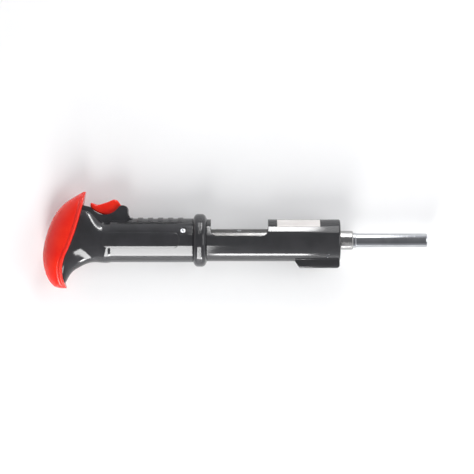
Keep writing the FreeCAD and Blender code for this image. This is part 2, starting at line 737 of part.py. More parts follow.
def striker_parts():
    """The firing pin with its offset tip, the striker head pinned to it, and the cross pin."""
    stem = turned(
        "PinStem",
        [
            (f"{STRIKER_REAR} - 4", "0"),
            (f"{STRIKER_REAR} - 4", "stem_radius"),
            (f"{BREECH_FACE} - tip_length", "stem_radius"),
            (f"{BREECH_FACE} - tip_length", "0"),
        ],
    )
    tip = drum(
        "PinTip",
        "tip_radius",
        "tip_length + tip_strike + 1",
        f"{BREECH_FACE} - tip_length - 1",
        "tip_offset",
        0,
        "x",
    )
    pin = fused("FiringPin", stem, tip)
    middle = f"({STRIKER_FRONT} + {STRIKER_REAR}) / 2"
    pin_hole = drum("StemHole", "1.02", "10", middle, 0, "-5")
    keep(cut("FiringPinDrilled", pin, pin_hole), "firing_pin")
    head = turned(
        "HeadBody",
        [
            (STRIKER_REAR, "stem_radius + seat_gap"),
            (STRIKER_FRONT, "stem_radius + seat_gap"),
            (STRIKER_FRONT, "striker_radius - 0.6"),
            (f"{STRIKER_FRONT} - 0.6", "striker_radius"),
            (f"{STRIKER_REAR} + 0.6", "striker_radius"),
            (STRIKER_REAR, "striker_radius - 0.6"),
        ],
    )
    head_hole = drum("HeadHole", "1.02", "striker_radius * 2 + 2", middle, 0, "-striker_radius - 1")
    keep(cut("StrikerHead", head, head_hole), "striker_head")
    keep(drum("StrikerPin", "1", "striker_radius * 2 - 1", middle, 0, "0.5 - striker_radius"), "striker_pin")


def guide_parts():
    """The washer that guides the firing pin's stem and carries the return spring, and its two pins."""
    body = ring(
        "GuideBody",
        f"{GUIDE_FRONT} - guide_width",
        GUIDE_FRONT,
        "stem_radius + run_gap * 2",
        "barrel_radius + run_gap - seat_gap",
    )
    middle = f"({GUIDE_FRONT} - guide_width / 2)"
    inner = "(barrel_radius - 3)"
    holes = [
        drum("GuideHoleTop", "1.05", "5", middle, inner, 0, "y"),
        drum("GuideHoleBottom", "1.05", "5", middle, f"-{inner} - 5", 0, "y"),
    ]
    keep(cut("GuideWasher", body, *holes), "guide_washer")
    reach = f"(tube_radius - {inner} - 0.4)"
    pins = [
        drum("GuidePinTop", "1", reach, middle, f"{inner} + 0.2", 0, "y"),
        drum("GuidePinBottom", "1", reach, middle, f"-{inner} - 0.2 - {reach}", 0, "y"),
    ]
    keep(fused("GuidePins", *pins), "guide_pins")


def rear_plug():
    """The plug that closes the receiver tube, with a spigot for the firing spring."""
    body = turned(
        "RearPlug",
        [
            (f"{TUBE_REAR} - plug_flange", "0"),
            (f"{TUBE_REAR} - plug_flange", "tube_radius - 0.6"),
            (f"{TUBE_REAR} - plug_flange + 0.6", "tube_radius"),
            (TUBE_REAR, "tube_radius"),
            (TUBE_REAR, "barrel_radius + run_gap - seat_gap"),
            (PLUG_FRONT, "barrel_radius + run_gap - seat_gap"),
            (PLUG_FRONT, "4.2"),
            (f"{PLUG_FRONT} + 3", "4.2"),
            (f"{PLUG_FRONT} + 3", "0"),
        ],
    )
    keep(body, "rear_plug")


def springs():
    """The firing spring behind the striker, and the return spring behind the breech."""
    coil(
        "firing_spring",
        f"{PLUG_FRONT} + 0.75",
        "main_spring_length - 1.5",
        6,
        "5.3",
        0.65,
    )
    coil("return_spring", f"{GUIDE_FRONT} + 0.8", "spring_room - 1.6", 4.5, "striker_radius", 0.7)


# ---------------------------------------------------------------- trigger and sear


def curve_through(*points):
    """An arc from the first point to the last by way of the middle one."""
    return Part.Arc(*[Vector(x, y, 0) for x, y in points]).toShape()


def straight(start, end):
    return Part.LineSegment(Vector(*start, 0), Vector(*end, 0)).toShape()


def slab(edges, width):
    """A slab of a closed outline in the XY plane, centred on Z."""
    face = Part.Face(Part.Wire(Part.__sortEdges__(edges)))
    face.translate(Vector(0, 0, -width / 2))
    return face.extrude(Vector(0, 0, width))


# The trigger's sections, tip to pivot, in millimetres from the pivot: place along the bore, underside,
# top and corner rounding. It is hollow under the finger and rises to a hump ahead of it.
TRIGGER_SECTIONS = [
    (-30.2, 4.0, 6.4, 1.0),
    (-29.2, 2.2, 7.2, 1.5),
    (-25.0, -1.0, 5.7, 1.6),
    (-19.5, -3.4, 6.2, 1.6),
    (-14.0, -4.6, 8.0, 1.7),
    (-9.5, -5.0, 10.0, 1.8),
    (-6.0, -5.0, 9.9, 1.8),
    (-3.4, -4.6, 7.4, 1.8),
    (-1.0, -4.0, 4.6, 1.6),
]


def rounded_section(x, low, top, half, radius):
    """A rounded rectangle that faces along the bore."""
    inset = radius * (1 - math.sqrt(0.5))
    arcs = []
    for n, (y, side_y, side_z) in enumerate(((top, 1, 1), (low, -1, 1), (low, -1, -1), (top, 1, -1))):
        on_side = Vector(x, y - side_y * radius, side_z * half)
        on_edge = Vector(x, y, side_z * (half - radius))
        middle = Vector(x, y - side_y * inset, side_z * (half - inset))
        arcs.append((on_edge, middle, on_side) if n % 2 == 0 else (on_side, middle, on_edge))
    edges = []
    for n, (start, middle, end) in enumerate(arcs):
        edges.append(Part.Arc(start, middle, end).toShape())
        edges.append(Part.LineSegment(end, arcs[(n + 1) % 4][0]).toShape())
    return Part.Wire(edges)


def trigger(px):
    """The trigger: a lofted finger rest with a round boss at its pivot, a lug for the sear, a spring seat."""
    py = measure("pivot_height")
    width = measure("trigger_width")
    sections = [
        rounded_section(px + dx, py + low, py + top, width / 2 - (0.7 if n == 0 else 0), radius)
        for n, (dx, low, top, radius) in enumerate(TRIGGER_SECTIONS)
    ]
    rest = Part.makeLoft(sections, True, False)
    boss = Part.makeCylinder(measure("boss_radius") - 0.6, width, Vector(px, py, -width / 2))
    lug_low = measure("sear_height") + 2.2
    lug = Part.makeBox(3, py - 1.3 - lug_low, 4, Vector(px - 13.5, lug_low, -2))
    hole = Part.makeCylinder(
        measure("trigger_pin_radius") + measure("seat_gap"), width * 2, Vector(px, py, -width)
    )
    seat = Part.makeCylinder(2.5, 4, Vector(px - 18, py - 6.3, 0), Vector(0, 1, 0))
    keep(solid_of("trigger", rest.fuse([boss, lug]).cut([hole, seat])), "trigger")


def sear(px):
    """The sear: a short bar on its own pin, with a nose that reaches down through the receiver tube."""
    sy = measure("sear_height")
    width = measure("sear_width")
    top, under = sy + 1.5, sy - 1.7
    nose = measure("striker_radius") + measure("sear_lift")
    tail, reach = px - measure("sear_tail"), px + measure("sear_reach")
    outline = [
        straight((tail, top), (px + 4, top)),
        straight((px + 4, top), (reach, top - 1.5)),
        straight((reach, top - 1.5), (reach, nose)),
        straight((reach, nose), (reach - 3.2, nose)),
        straight((reach - 3.2, nose), (reach - 3.2, under)),
        straight((reach - 3.2, under), (tail, under)),
        straight((tail, under), (tail, top)),
    ]
    bar = slab(outline, width)
    boss = Part.makeCylinder(2.7, width, Vector(px, sy, -width / 2))
    hole = Part.makeCylinder(
        measure("sear_pin_radius") + measure("seat_gap"), width * 2, Vector(px, sy, -width)
    )
    keep(solid_of("sear", bar.fuse(boss).cut(hole).removeSplitter()), "sear")


def pins():
    """The two pins, held in both shells."""
    keep(
        drum(
            "TriggerPin",
            "trigger_pin_radius",
            "cheek_width - 1.6",
            PIVOT_X,
            "pivot_height",
            "0.8 - cheek_width / 2",
        ),
        "trigger_pin",
    )
    keep(
        drum("SearPin", "sear_pin_radius", "15", PIVOT_X, "sear_height", "-7.5"),
        "sear_pin",
    )
    foot = "(tube_radius + slot_floor)"
    coil(
        "trigger_spring",
        f"{PIVOT_X} - 18",
        f"pivot_height - 2.3 - {foot} - 1",
        4,
        "1.9",
        0.35,
        "y",
        f"{foot} + 0.5",
    )


# ---------------------------------------------------------------- rear shells and palm grip

# The palm grip's sections, from its foot to its horn: height (share of the grip's half height), front edge
# (share of the grip depth behind the grip's start), depth and half width (shares of the largest).
PALM_SECTIONS = [
    (-1.0, 0.600, 0.17, 0.14),
    (-0.98, 0.600, 0.35, 0.33),
    (-0.93, 0.605, 0.46, 0.50),
    (-0.84, 0.625, 0.54, 0.66),
    (-0.69, 0.650, 0.61, 0.80),
    (-0.44, 0.630, 0.74, 0.94),
    (-0.22, 0.556, 0.889, 1.0),
    (0.13, 0.440, 0.994, 1.0),
    (0.48, 0.352, 0.93, 0.90),
    (0.75, 0.305, 0.667, 0.70),
    (0.88, 0.280, 0.390, 0.51),
    (0.96, 0.262, 0.190, 0.27),
    (1.0, 0.255, 0.095, 0.12),
]
# The grip core's sections, from the round housing backwards: place (share of the grip depth), middle height,
# half height and half width (shares of the housing radius).
CORE_SECTIONS = [
    (-0.185, 0.0, 1.0, 1.0),
    (0.04, 0.05, 1.06, 0.93),
    (0.22, 0.235, 1.285, 0.82),
    (0.40, 0.185, 1.46, 0.765),
    (0.50, 0.12, 1.60, 0.75),
    (0.60, -0.06, 1.84, 0.73),
    (0.67, -0.10, 1.98, 0.70),
]


def split_edges(px, shift=0.0):
    """The line between grip core and palm grip, seen from the side, closed far ahead of the grip."""
    top, bottom, deep = measure("grip_top"), measure("grip_bottom"), measure("grip_depth")
    start = px - measure("pivot_ahead")
    far = start + 120

    def at(back, height):
        return (start - deep * back + shift, height)

    horn_top, horn_root = at(0.22, top + 9), at(0.295, top * 0.74)
    neck, waist, low = at(0.311, top * 0.68), at(0.56, -bottom * 0.22), at(0.60, -bottom * 0.95)
    foot = at(0.52, -bottom - 9)
    return [
        straight((far, top + 9), horn_top),
        straight(horn_top, horn_root),
        straight(horn_root, neck),
        curve_through(neck, at(0.432, top * 0.17), waist),
        curve_through(waist, at(0.653, -bottom * 0.62), low),
        straight(low, foot),
        straight(foot, (far, -bottom - 9)),
        straight((far, -bottom - 9), (far, top + 9)),
    ]


def split_block(px, shift=0.0):
    return solid_of("SplitBlock" + ("" if not shift else "Wide"), slab(split_edges(px, shift), 80))


def cheek_slab(px):
    """The two trigger cheeks as one slab: scooped under the finger, round at the pivot, high at the horn."""
    py, boss = measure("pivot_height"), measure("boss_radius")
    top = measure("grip_top")

    def at(dx, dy):
        return (px + dx, py + dy)

    boss_rear, boss_front = at(-boss * 0.86, boss * 0.52), at(boss, 0)
    horn, scoop = (px - 37.6, top * 0.73), at(-19.7, -3.6)
    outline = [
        straight(horn, at(-30.4, 3.4)),
        curve_through(at(-30.4, 3.4), scoop, boss_rear),
        curve_through(boss_rear, at(0, boss), boss_front),
        curve_through(boss_front, at(5.9, -5.2), at(9.5, -8.3)),
        straight(at(9.5, -8.3), (px + 9.5, 8)),
        straight((px + 9.5, 8), (px - 37.6, 8)),
        straight((px - 37.6, 8), horn),
    ]
    return solid_of("Cheeks", slab(outline, measure("cheek_width")))


def tongue(name, grow):
    """The tongue of the shells that holds the palm grip, grown all round by a gap for its pocket."""
    return block(
        name,
        f"palm_depth * 0.62 + {grow}",
        f"grip_bottom * 0.84 + 2 * {grow}",
        f"2 * tongue_half_width + 2 * {grow}",
        f"{GRIP_START} - grip_depth * 0.79 - {grow}",
        f"-grip_bottom * 0.56 - {grow}",
    )


def screw_spots():
    """The four housing screws: place along the bore and height."""
    return [
        (f"{RING_REAR} - 7", "screw_row"),
        (f"{RING_REAR} - 7", "-screw_row"),
        (f"{RING_REAR} - 43", "screw_row"),
        (f"{RING_REAR} - 43", "-screw_row"),
    ]


def grip_spots():
    """The two screws through palm grip and tongue."""
    back = f"({GRIP_START} - grip_depth * 0.71)"
    return [(back, "grip_top * 0.14"), (back, "-grip_bottom * 0.37")]


def screw_holes():
    """The tools that cut the screw holes, head recesses and insert pockets."""
    tools = []
    for n, (x, y) in enumerate(screw_spots()):
        tools.append(drum(f"ScrewHole{n}", "screw_radius + 0.15", "12", x, y, "-4"))
        tools.append(drum(f"ScrewRecess{n}", "screw_head + 0.2", "30", x, y, "-33.8"))
        tools.append(drum(f"InsertPocket{n}", "insert_radius + seat_gap", "5.6", x, y, "0"))
    for n, (x, y) in enumerate(grip_spots()):
        tools.append(drum(f"GripHole{n}", "screw_radius + 0.15", "12", x, y, "-8"))
        tools.append(drum(f"GripPocket{n}", "insert_radius + seat_gap", "4.6", x, y, "0"))
    return tools


def shell_mouldings():
    """The raised pad on each side and the ribs on the trigger side, both a little above the surface."""
    middle = f"({GRIP_START} + rear_length * 0.44)"
    left, right = f"({middle} - pad_length / 2)", f"({middle} + pad_length / 2)"
    pad = plate(
        "SidePads",
        [
            (left, "-pad_width / 2"),
            (right, "-pad_width / 2"),
            (right, "pad_width / 2"),
            (left, "pad_width / 2"),
        ],
        "body_radius * 3",
        "pad_width * 0.42",
        (0, 1, 2, 3),
    )
    first = f"({RING_REAR} - 9)"
    ribs = doc.addObject("PartDesign::Body", "Ribs")
    sketch = outline_sketch(
        ribs,
        "Ribs_outline",
        [
            (first, "screw_row"),
            (first, "body_radius * 1.5"),
            (f"{first} - rib_width", "body_radius * 1.5"),
            (f"{first} - rib_width", "screw_row"),
        ],
    )
    slat = ribs.newObject("PartDesign::Pad", "Ribs_pad")
    slat.Profile = (sketch, [""])
    slat.Midplane = True
    bind(slat, "Length", "body_radius * 2")
    row = ribs.newObject("PartDesign::LinearPattern", "Ribs_row")
    row.Originals = [slat]
    row.Direction = (sketch, ["H_Axis"])
    row.Reversed = True
    bind(row, "Length", "rib_pitch * rib_steps")
    bind(row, "Occurrences", "rib_steps + 1")
    ribs.Tip = row
    skin = drum(
        "MouldingSkin", "body_radius + pad_height", "rear_length - 1", f"{GRIP_START} + 0.5", 0, 0, "x"
    )
    return common("Mouldings", skin, fused("MouldingOutlines", pad, ribs))


def side_screw_tools():
    """The recess and the hole for the screw on each side that holds the shells to the receiver tube."""
    tools = []
    for n, angle in enumerate(SIDE_ANGLES):
        tools.append(radial_drum(f"SideHole{n}", "1.55", "8", SIDE_SCREW_X, "tube_radius - 1", angle))
        tools.append(radial_drum(f"SideRecess{n}", "2.6", "12", SIDE_SCREW_X, "tube_radius + 2.9", angle))
    return tools


def side_screws():
    """The two side screws, each with a hexagon-key socket."""
    screws = []
    for n, angle in enumerate(SIDE_ANGLES):
        shank = radial_drum(f"SideShank{n}", "1.5", "7", SIDE_SCREW_X, "tube_radius - 2.9", angle)
        head = radial_drum(f"SideHead{n}", "2.5", "2.4", SIDE_SCREW_X, "tube_radius + 3", angle)
        socket = radial_drum(f"SideSocket{n}", "1.2", "4", SIDE_SCREW_X, "tube_radius + 4.2", angle)
        screws.append(cut(f"SideScrew{n}", fused(f"SideBody{n}", shank, head), socket))
    keep(fused("SideScrews", *screws), "side_screws")


def rear_shells(split, cheeks):
    """The rear housing, moulded in two halves that meet on the bore axis."""
    round_part = doc.addObject("Part::Cylinder", "RoundPart")
    bind(round_part, "Radius", "body_radius")
    bind(round_part, "Height", "rear_length - grip_depth * 0.185")
    put(round_part, f"{GRIP_START} + grip_depth * 0.185", 0, 0, "x")
    sections = [
        oval(
            f"CoreOval{n}",
            f"body_radius * {half}",
            f"body_radius * {wide}",
            f"{GRIP_START} - grip_depth * {back}",
            f"body_radius * {middle}",
            "x",
        )
        for n, (back, middle, half, wide) in enumerate(CORE_SECTIONS)
    ]
    outside = fused("ShellOutside", round_part, loft("GripCore", sections), cheeks, shell_mouldings())
    trimmed = common("ShellTrimmed", outside, split)
    solid = fused("ShellSolid", trimmed, tongue("Tongue", 0))
    bore_end = f"({TUBE_REAR} - plug_flange - free_gap)"
    bore = drum(
        "ShellBore", "tube_radius + seat_gap", f"{RING_REAR} - {bore_end} + 1", bore_end, 0, 0, "x"
    )
    slot = block(
        "TriggerSlot",
        "39.4",
        "40",
        "trigger_width + 2 * free_gap",
        f"{PIVOT_X} - 33",
        "tube_radius + slot_floor",
    )
    channel = block(
        "SearChannel",
        "sear_tail + sear_reach + 3.8",
        "9.5",
        "sear_width + 1.4",
        f"{PIVOT_X} - sear_tail - 1.5",
        "sear_height - 6.4",
    )
    trigger_hole = drum(
        "TriggerPinHole",
        "trigger_pin_radius + seat_gap / 2",
        "cheek_width - 1.4",
        PIVOT_X,
        "pivot_height",
        "0.7 - cheek_width / 2",
    )
    sear_hole = drum(
        "SearPinHole", "sear_pin_radius + seat_gap / 2", "15.2", PIVOT_X, "sear_height", "-7.6"
    )
    pocket = block(
        "CorePocket",
        "grip_depth * 0.27",
        "body_radius * 1.3",
        "pocket_width",
        f"{GRIP_START} - grip_depth * 0.42",
        "-body_radius * 0.45",
    )
    grooves = [
        block(f"SeamGroove{n}", "56", "0.9", "10", f"{PIVOT_X} - 5", "body_radius * 0.76", z)
        for n, z in enumerate(("body_radius * 0.585", "-body_radius * 0.585 - 10"))
    ]
    slotted = cut("ShellSlotted", solid, slot)
    channelled = cut("ShellChannelled", slotted, channel)
    bored = cut("ShellBored", channelled, bore)
    pinned = cut("ShellPinned", bored, trigger_hole, sear_hole)
    grooved = cut("ShellGrooved", pinned, pocket, *grooves)
    hollow = cut("ShellHollow", grooved, *screw_holes(), *side_screw_tools())
    size = "rear_length + grip_depth * 2"
    for side, z in (("right", "0"), ("left", "-60")):
        half = block(f"Half_{side}", size, "160", "60", f"{RING_REAR} - ({size})", "-80", z)
        keep(common(f"RearShell_{side}", hollow, half), f"rear_shell_{side}")


def palm_grip(split):
    """The soft palm grip, moulded over the tongue, with a recess for each of its two screws."""
    sections = []
    for n, (height, front, depth, wide) in enumerate(PALM_SECTIONS):
        side = "grip_top" if height > 0 else "grip_bottom"
        sections.append(
            oval(
                f"PalmOval{n}",
                f"palm_depth * {depth}",
                f"palm_half_width * {wide}",
                f"{GRIP_START} - grip_depth * {front}",
                f"{side} * {height}",
                "y",
            )
        )
    pillow = loft("PalmPillow", sections)
    tools = [split, tongue("TonguePocket", "seat_gap")]
    for n, (x, y) in enumerate(grip_spots()):
        tools.append(drum(f"PalmHole{n}", "screw_radius + 0.15", "12", x, y, "-16"))
        tools.append(drum(f"PalmRecess{n}", "screw_head + 0.2", "20", x, y, "-30"))
    keep(cut("PalmGrip", pillow, *tools), "palm_grip")


def screw(name, x, y, head_z, tip_z):
    """A screw from the left side: a shank, and a head with a cross recess."""
    shank = drum(name + "_shank", "screw_radius", f"{tip_z} - ({head_z})", x, y, head_z)
    head = drum(name + "_head", "screw_head", "head_thickness", x, y, f"{head_z} - head_thickness")
    across = [
        block(f"{name}_cross{n}", long, high, "1", f"{x} - ({long}) / 2", f"{y} - ({high}) / 2",
              f"{head_z} - head_thickness")
        for n, (long, high) in enumerate((("2.6", "0.6"), ("0.6", "2.6")))
    ]
    return cut(name, fused(name + "_body", shank, head), *across)


def insert(name, x, y, length):
    body = drum(name + "_body", "insert_radius", length, x, y, "0.1")
    hole = drum(name + "_hole", "screw_radius + seat_gap", "20", x, y, "-5")
    return cut(name, body, hole)


def fasteners():
    """The screws that close the shells and hold the palm grip, and the brass inserts that they run into."""
    body_screws = [screw(f"Screw{n}", x, y, "-3.9", "5") for n, (x, y) in enumerate(screw_spots())]
    keep(fused("HousingScrews", *body_screws), "housing_screws")
    grip = [screw(f"GripScrew{n}", x, y, "-10.1", "4") for n, (x, y) in enumerate(grip_spots())]
    keep(fused("GripScrews", *grip), "grip_screws")
    inserts = [insert(f"Insert{n}", x, y, "5.4") for n, (x, y) in enumerate(screw_spots())]
    inserts += [insert(f"GripInsert{n}", x, y, "4.4") for n, (x, y) in enumerate(grip_spots())]
    keep(fused("ScrewInserts", *inserts), "screw_inserts")


def guard_ring():
    """The guard ring that keeps the hand off the front housing: a crowned flange."""
    edge = "(body_radius - ring_seat)"
    body = doc.addObject("PartDesign::Body", "GuardRing")
    sketch = outline_sketch(
        body,
        "GuardRing_outline",
        [
            (RING_REAR, "tube_radius + seat_gap"),
            (RING_FRONT, "tube_radius + seat_gap"),
            (RING_FRONT, edge),
            (f"{RING_FRONT} - ring_width * 0.18", "ring_radius"),
            (f"{RING_REAR} + ring_width * 0.18", "ring_radius"),
            (RING_REAR, edge),
        ],
    )
    turn = body.newObject("PartDesign::Revolution", "GuardRing_turn")
    turn.Profile = (sketch, [""])
    turn.ReferenceAxis = (sketch, ["H_Axis"])
    turn.Angle = 360
    doc.recompute()
    rim = measure("ring_radius")
    edges = [
        f"Edge{n}"
        for n, edge in enumerate(turn.Shape.Edges, start=1)
        if isinstance(edge.Curve, Part.Circle) and abs(edge.Curve.Radius - rim) < 1e-4
    ]
    fillet = body.newObject("PartDesign::Fillet", "GuardRing_round")
    fillet.Base = (turn, edges)
    bind(fillet, "Radius", "ring_crown")
    keep(body, "guard_ring")


def label_strip():
    """The blank label on the front housing, bent to the housing's radius."""
    band = doc.addObject("Part::Cylinder", "LabelOuter")
    bind(band, "Radius", "front_radius + 0.25")
    bind(band, "Height", LABEL_LENGTH)
    band.Angle = 36
    hollow = doc.addObject("Part::Cylinder", "LabelInner")
    bind(hollow, "Radius", "front_radius + 0.02")
    bind(hollow, "Height", f"{LABEL_LENGTH} + 2")
    put(hollow, f"{LABEL_REAR} - 1", 0, 0, "x")
    # the sector starts on -Z once the cylinder lies along the bore, so it is turned up to the trigger side
    band.Placement = Placement(Vector(), Rotation(Vector(1, 0, 0), 104.5) * TURN_TO["x"])
    bind(band, ".Placement.Base.x", LABEL_REAR)
    keep(cut("Label", band, hollow), "blank_label")


# ---------------------------------------------------------------- build


def faults():
    """Every object that failed to compute, and every sub-part that is not a set of sound solids."""
    found = [f"{o.Name}: {o.State}" for o in doc.Objects if {"Invalid", "Error"} & set(o.State)]
    for node in nodes:
        shape = node.Shape
        if shape.isNull() or not shape.isValid() or not shape.Solids:
            found.append(f"{node.Label}: not a valid solid")
        elif any(s.Volume <= 0 for s in shape.Solids):
            found.append(f"{node.Label}: a solid is inside out")
    return found


def main():
    fill_sheet()
    add_measures()
    px = measure("pivot_x")

    muzzle_rod()
    lock_nut()
    barrel()
    buffer_ring()
    piston()
    receiver_tube()
    nose_parts()
    front_housing()
    pawl_parts()
    breech_parts()
    striker_parts()
    guide_parts()
    rear_plug()
    springs()
    guard_ring()
    label_strip()
    trigger(px)
    sear(px)
    pins()
    split = split_block(px)
    rear_shells(split, cheek_slab(px))
    palm_grip(split)
    side_screws()
    fasteners()
    doc.recompute()

    found = faults()
    if found:
        raise SystemExit("the model has faults:\n" + "\n".join(found))
    os.makedirs("parts", exist_ok=True)
    for node in nodes:
        node.Shape.exportStep(os.path.join("parts", node.Label + ".step"))
    print(f"{len(nodes)} sub-parts, {sum(len(n.Shape.Solids) for n in nodes)} solids")


main()
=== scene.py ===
# %% [markdown]
# # A powder-actuated nail gun in Blender
# The tool lies on its left side, with the muzzle along +X and the trigger along +Y. The sizes come from the packed
# model, so this lesson only adds what a drawing for machining leaves out: soft mould edges, moulded ribs, polished
# and turned metal, plastics with their grain, and studio light.
#
# The frame brings every machined and moulded part as a plain mesh in its right place. Its box is kept from before
# anything is added, and the floor is laid just under it.

# %% Load the frame
import math

import bmesh
import bpy
from mathutils import Matrix, Vector


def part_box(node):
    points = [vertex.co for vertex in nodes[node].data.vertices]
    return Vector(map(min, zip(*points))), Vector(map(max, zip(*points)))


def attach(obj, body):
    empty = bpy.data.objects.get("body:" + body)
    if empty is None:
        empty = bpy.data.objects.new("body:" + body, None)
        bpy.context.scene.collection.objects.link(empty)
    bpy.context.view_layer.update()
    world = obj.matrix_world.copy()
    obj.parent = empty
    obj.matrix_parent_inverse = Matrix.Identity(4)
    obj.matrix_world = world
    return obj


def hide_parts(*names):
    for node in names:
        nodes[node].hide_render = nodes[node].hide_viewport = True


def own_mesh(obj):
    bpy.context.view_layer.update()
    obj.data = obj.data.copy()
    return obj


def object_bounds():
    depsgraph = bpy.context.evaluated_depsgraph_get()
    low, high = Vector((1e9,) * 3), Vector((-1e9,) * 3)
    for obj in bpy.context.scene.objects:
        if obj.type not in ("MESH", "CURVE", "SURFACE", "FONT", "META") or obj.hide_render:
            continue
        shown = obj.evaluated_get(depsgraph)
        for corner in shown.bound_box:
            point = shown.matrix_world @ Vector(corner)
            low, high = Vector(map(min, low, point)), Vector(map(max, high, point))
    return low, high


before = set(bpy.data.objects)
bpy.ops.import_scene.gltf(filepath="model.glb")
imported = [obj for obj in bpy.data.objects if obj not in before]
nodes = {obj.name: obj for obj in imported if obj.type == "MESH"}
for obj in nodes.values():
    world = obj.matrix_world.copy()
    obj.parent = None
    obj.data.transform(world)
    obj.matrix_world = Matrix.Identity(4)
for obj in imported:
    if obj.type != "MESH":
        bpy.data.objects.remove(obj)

cad_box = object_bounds()
mm = 0.001
print("nodes", len(nodes), "box in mm", [[round(v * 1000, 1) for v in corner] for corner in cad_box])

# %% [markdown]
# ## Camera
# The tool is seen square from its side, so a long lens stands straight above the middle of it. A short lens would
# show the ends of the tube, and a parallel one would make every flat face reflect only one point of the room.

# %% Camera
view_centre = (-0.1781, 0.0031)
camera_height = 2.2
view_width = 0.4444
lens = bpy.data.cameras.new("bench_camera")
lens.sensor_width = 36.0
lens.lens = lens.sensor_width * camera_height / view_width
lens.clip_end = 20.0
camera = bpy.data.objects.new("bench_camera", lens)
camera.location = (*view_centre, camera_height)
bpy.context.scene.collection.objects.link(camera)
bpy.context.scene.camera = camera
print("lens", round(lens.lens, 1), "mm")

# %% [markdown]
# ## Floor
# A plain pale floor lies a hair under the lowest point of the tool, so that the two never share a face. It is far
# wider than the view, because its edge must show neither in the picture nor in the polished rod.

# %% Floor
floor_half, floor_gap = 3.0, 0.0002
floor_z = cad_box[0][2] - floor_gap
floor_mesh = bpy.data.meshes.new("floor")
floor_mesh.from_pydata(
    [(x * floor_half, y * floor_half, floor_z) for x, y in ((-1, -1), (1, -1), (1, 1), (-1, 1))], [], [(0, 1, 2, 3)]
)
floor = bpy.data.objects.new("floor", floor_mesh)
bpy.context.scene.collection.objects.link(floor)
print("floor at", round(floor_z / mm, 2), "mm")

# %% [markdown]
# ## Softboxes
# Glossy black plastic shows little of its own colour: what draws its shape is what it reflects. A tube mirrors an
# upright softbox as a band along itself, as long as the softbox is wide, and the softbox's lower and upper edges
# set the band's two sides. The broad softbox draws the band on the rear body and the front one the band low on the
# front housing. On the trigger side, one strip each serves the front housing, the guard ring and the muzzle rod.
# The last softbox stands beyond the muzzle and lights the faces that look that way. A softbox's power is its
# radiance times pi times its area, so each can change size and stay as bright.

# %% Softboxes
def area_light(name, place, aim, width, length, power):
    """A softbox at a place, turned to face a point."""
    lamp = bpy.data.lights.new(name, "AREA")
    lamp.shape = "RECTANGLE"
    lamp.size, lamp.size_y = width, length
    lamp.energy = power
    box = bpy.data.objects.new(name, lamp)
    box.location = place
    box.rotation_euler = (Vector(aim) - Vector(place)).to_track_quat("-Z", "Y").to_euler()
    bpy.context.scene.collection.objects.link(box)


def softbox(name, x, y, low, high, width, radiance):
    """An upright softbox beside the tool, facing it, from a low to a high edge."""
    tall, middle = high - low, (low + high) / 2
    area_light(name, (x, y, middle), (x, 0.0, middle), width, tall, radiance * math.pi * width * tall)


softbox("broad_softbox", -0.320, -0.70, 0.02, 1.22, 0.204, 15.0)
softbox("front_softbox", -0.148, -0.70, 0.005, 0.15, 0.116, 26.0)
softbox("thin_strip", -0.112, 0.72, 0.14, 0.62, 0.074, 24.0)
softbox("ring_strip", -0.2135, 0.70, 0.10, 1.30, 0.008, 22.0)
softbox("rod_strip", -0.022, 0.72, 0.06, 0.80, 0.096, 2.6)
area_light("end_softbox", (1.25, 0.10, 1.35), (-0.18, 0.0, 0.0), 1.5, 1.2, 14.0)
print("lights", len(bpy.data.lights))

# %% [markdown]
# ## Helpers for node trees
# Every finish is a small net of nodes, and so is the room's light. Four helpers keep those nets short: a group with
# named sockets, one piece of arithmetic, a change from one span of numbers to another, and noise that sticks to the
# piece because it reads Object coordinates.

# %% Groups and arithmetic
def new_group(name, inputs, outputs):
    """A shader node group with named number inputs and typed outputs."""
    tree = bpy.data.node_groups.new(name, "ShaderNodeTree")
    for word, value in inputs:
        socket = tree.interface.new_socket(word, in_out="INPUT", socket_type="NodeSocketFloat")
        socket.default_value = value
    for word, kind in outputs:
        tree.interface.new_socket(word, in_out="OUTPUT", socket_type=kind)
    start, end = tree.nodes.new("NodeGroupInput"), tree.nodes.new("NodeGroupOutput")
    return tree, start, end


def maths(tree, operation, first, second=None, clamp=False):
    """One math node; each term is a socket or a number."""
    node = tree.nodes.new("ShaderNodeMath")
    node.operation = operation
    node.use_clamp = clamp
    for place, term in enumerate((first, second)):
        if isinstance(term, bpy.types.NodeSocket):
            tree.links.new(term, node.inputs[place])
        elif term is not None:
            node.inputs[place].default_value = term
    return node.outputs[0]


print("groups and arithmetic ready")

# %% Spans and noise
def spread(tree, value, low, high, to_low, to_high):
    """A map-range node from one span of numbers to another."""
    node = tree.nodes.new("ShaderNodeMapRange")
    tree.links.new(value, node.inputs["Value"])
    for word, number in (("From Min", low), ("From Max", high), ("To Min", to_low), ("To Max", to_high)):
        if isinstance(number, bpy.types.NodeSocket):
            tree.links.new(number, node.inputs[word])
        else:
            node.inputs[word].default_value = number
    return node.outputs["Result"]


def noise(tree, size, detail=3.0, stretch=(1.0, 1.0, 1.0)):
    """Noise on object coordinates; size is the number of waves in a metre, and stretch makes it directional."""
    where = tree.nodes.new("ShaderNodeTexCoord")
    turn = tree.nodes.new("ShaderNodeMapping")
    turn.inputs["Scale"].default_value = stretch
    tree.links.new(where.outputs["Object"], turn.inputs["Vector"])
    cloud = tree.nodes.new("ShaderNodeTexNoise")
    tree.links.new(turn.outputs["Vector"], cloud.inputs["Vector"])
    if isinstance(size, bpy.types.NodeSocket):
        tree.links.new(size, cloud.inputs["Scale"])
    else:
        cloud.inputs["Scale"].default_value = size
    cloud.inputs["Detail"].default_value = detail
    return cloud.outputs["Fac"]


print("spans and noise ready")

# %% [markdown]
# ## The room
# What no softbox lights is lit by the room. It is bright low down and darker overhead, so that the faces that look
# straight up stay black, and a little brighter on the trigger side. The Standard view transform keeps the red of
# the plastic: a film-like one would wash it out.

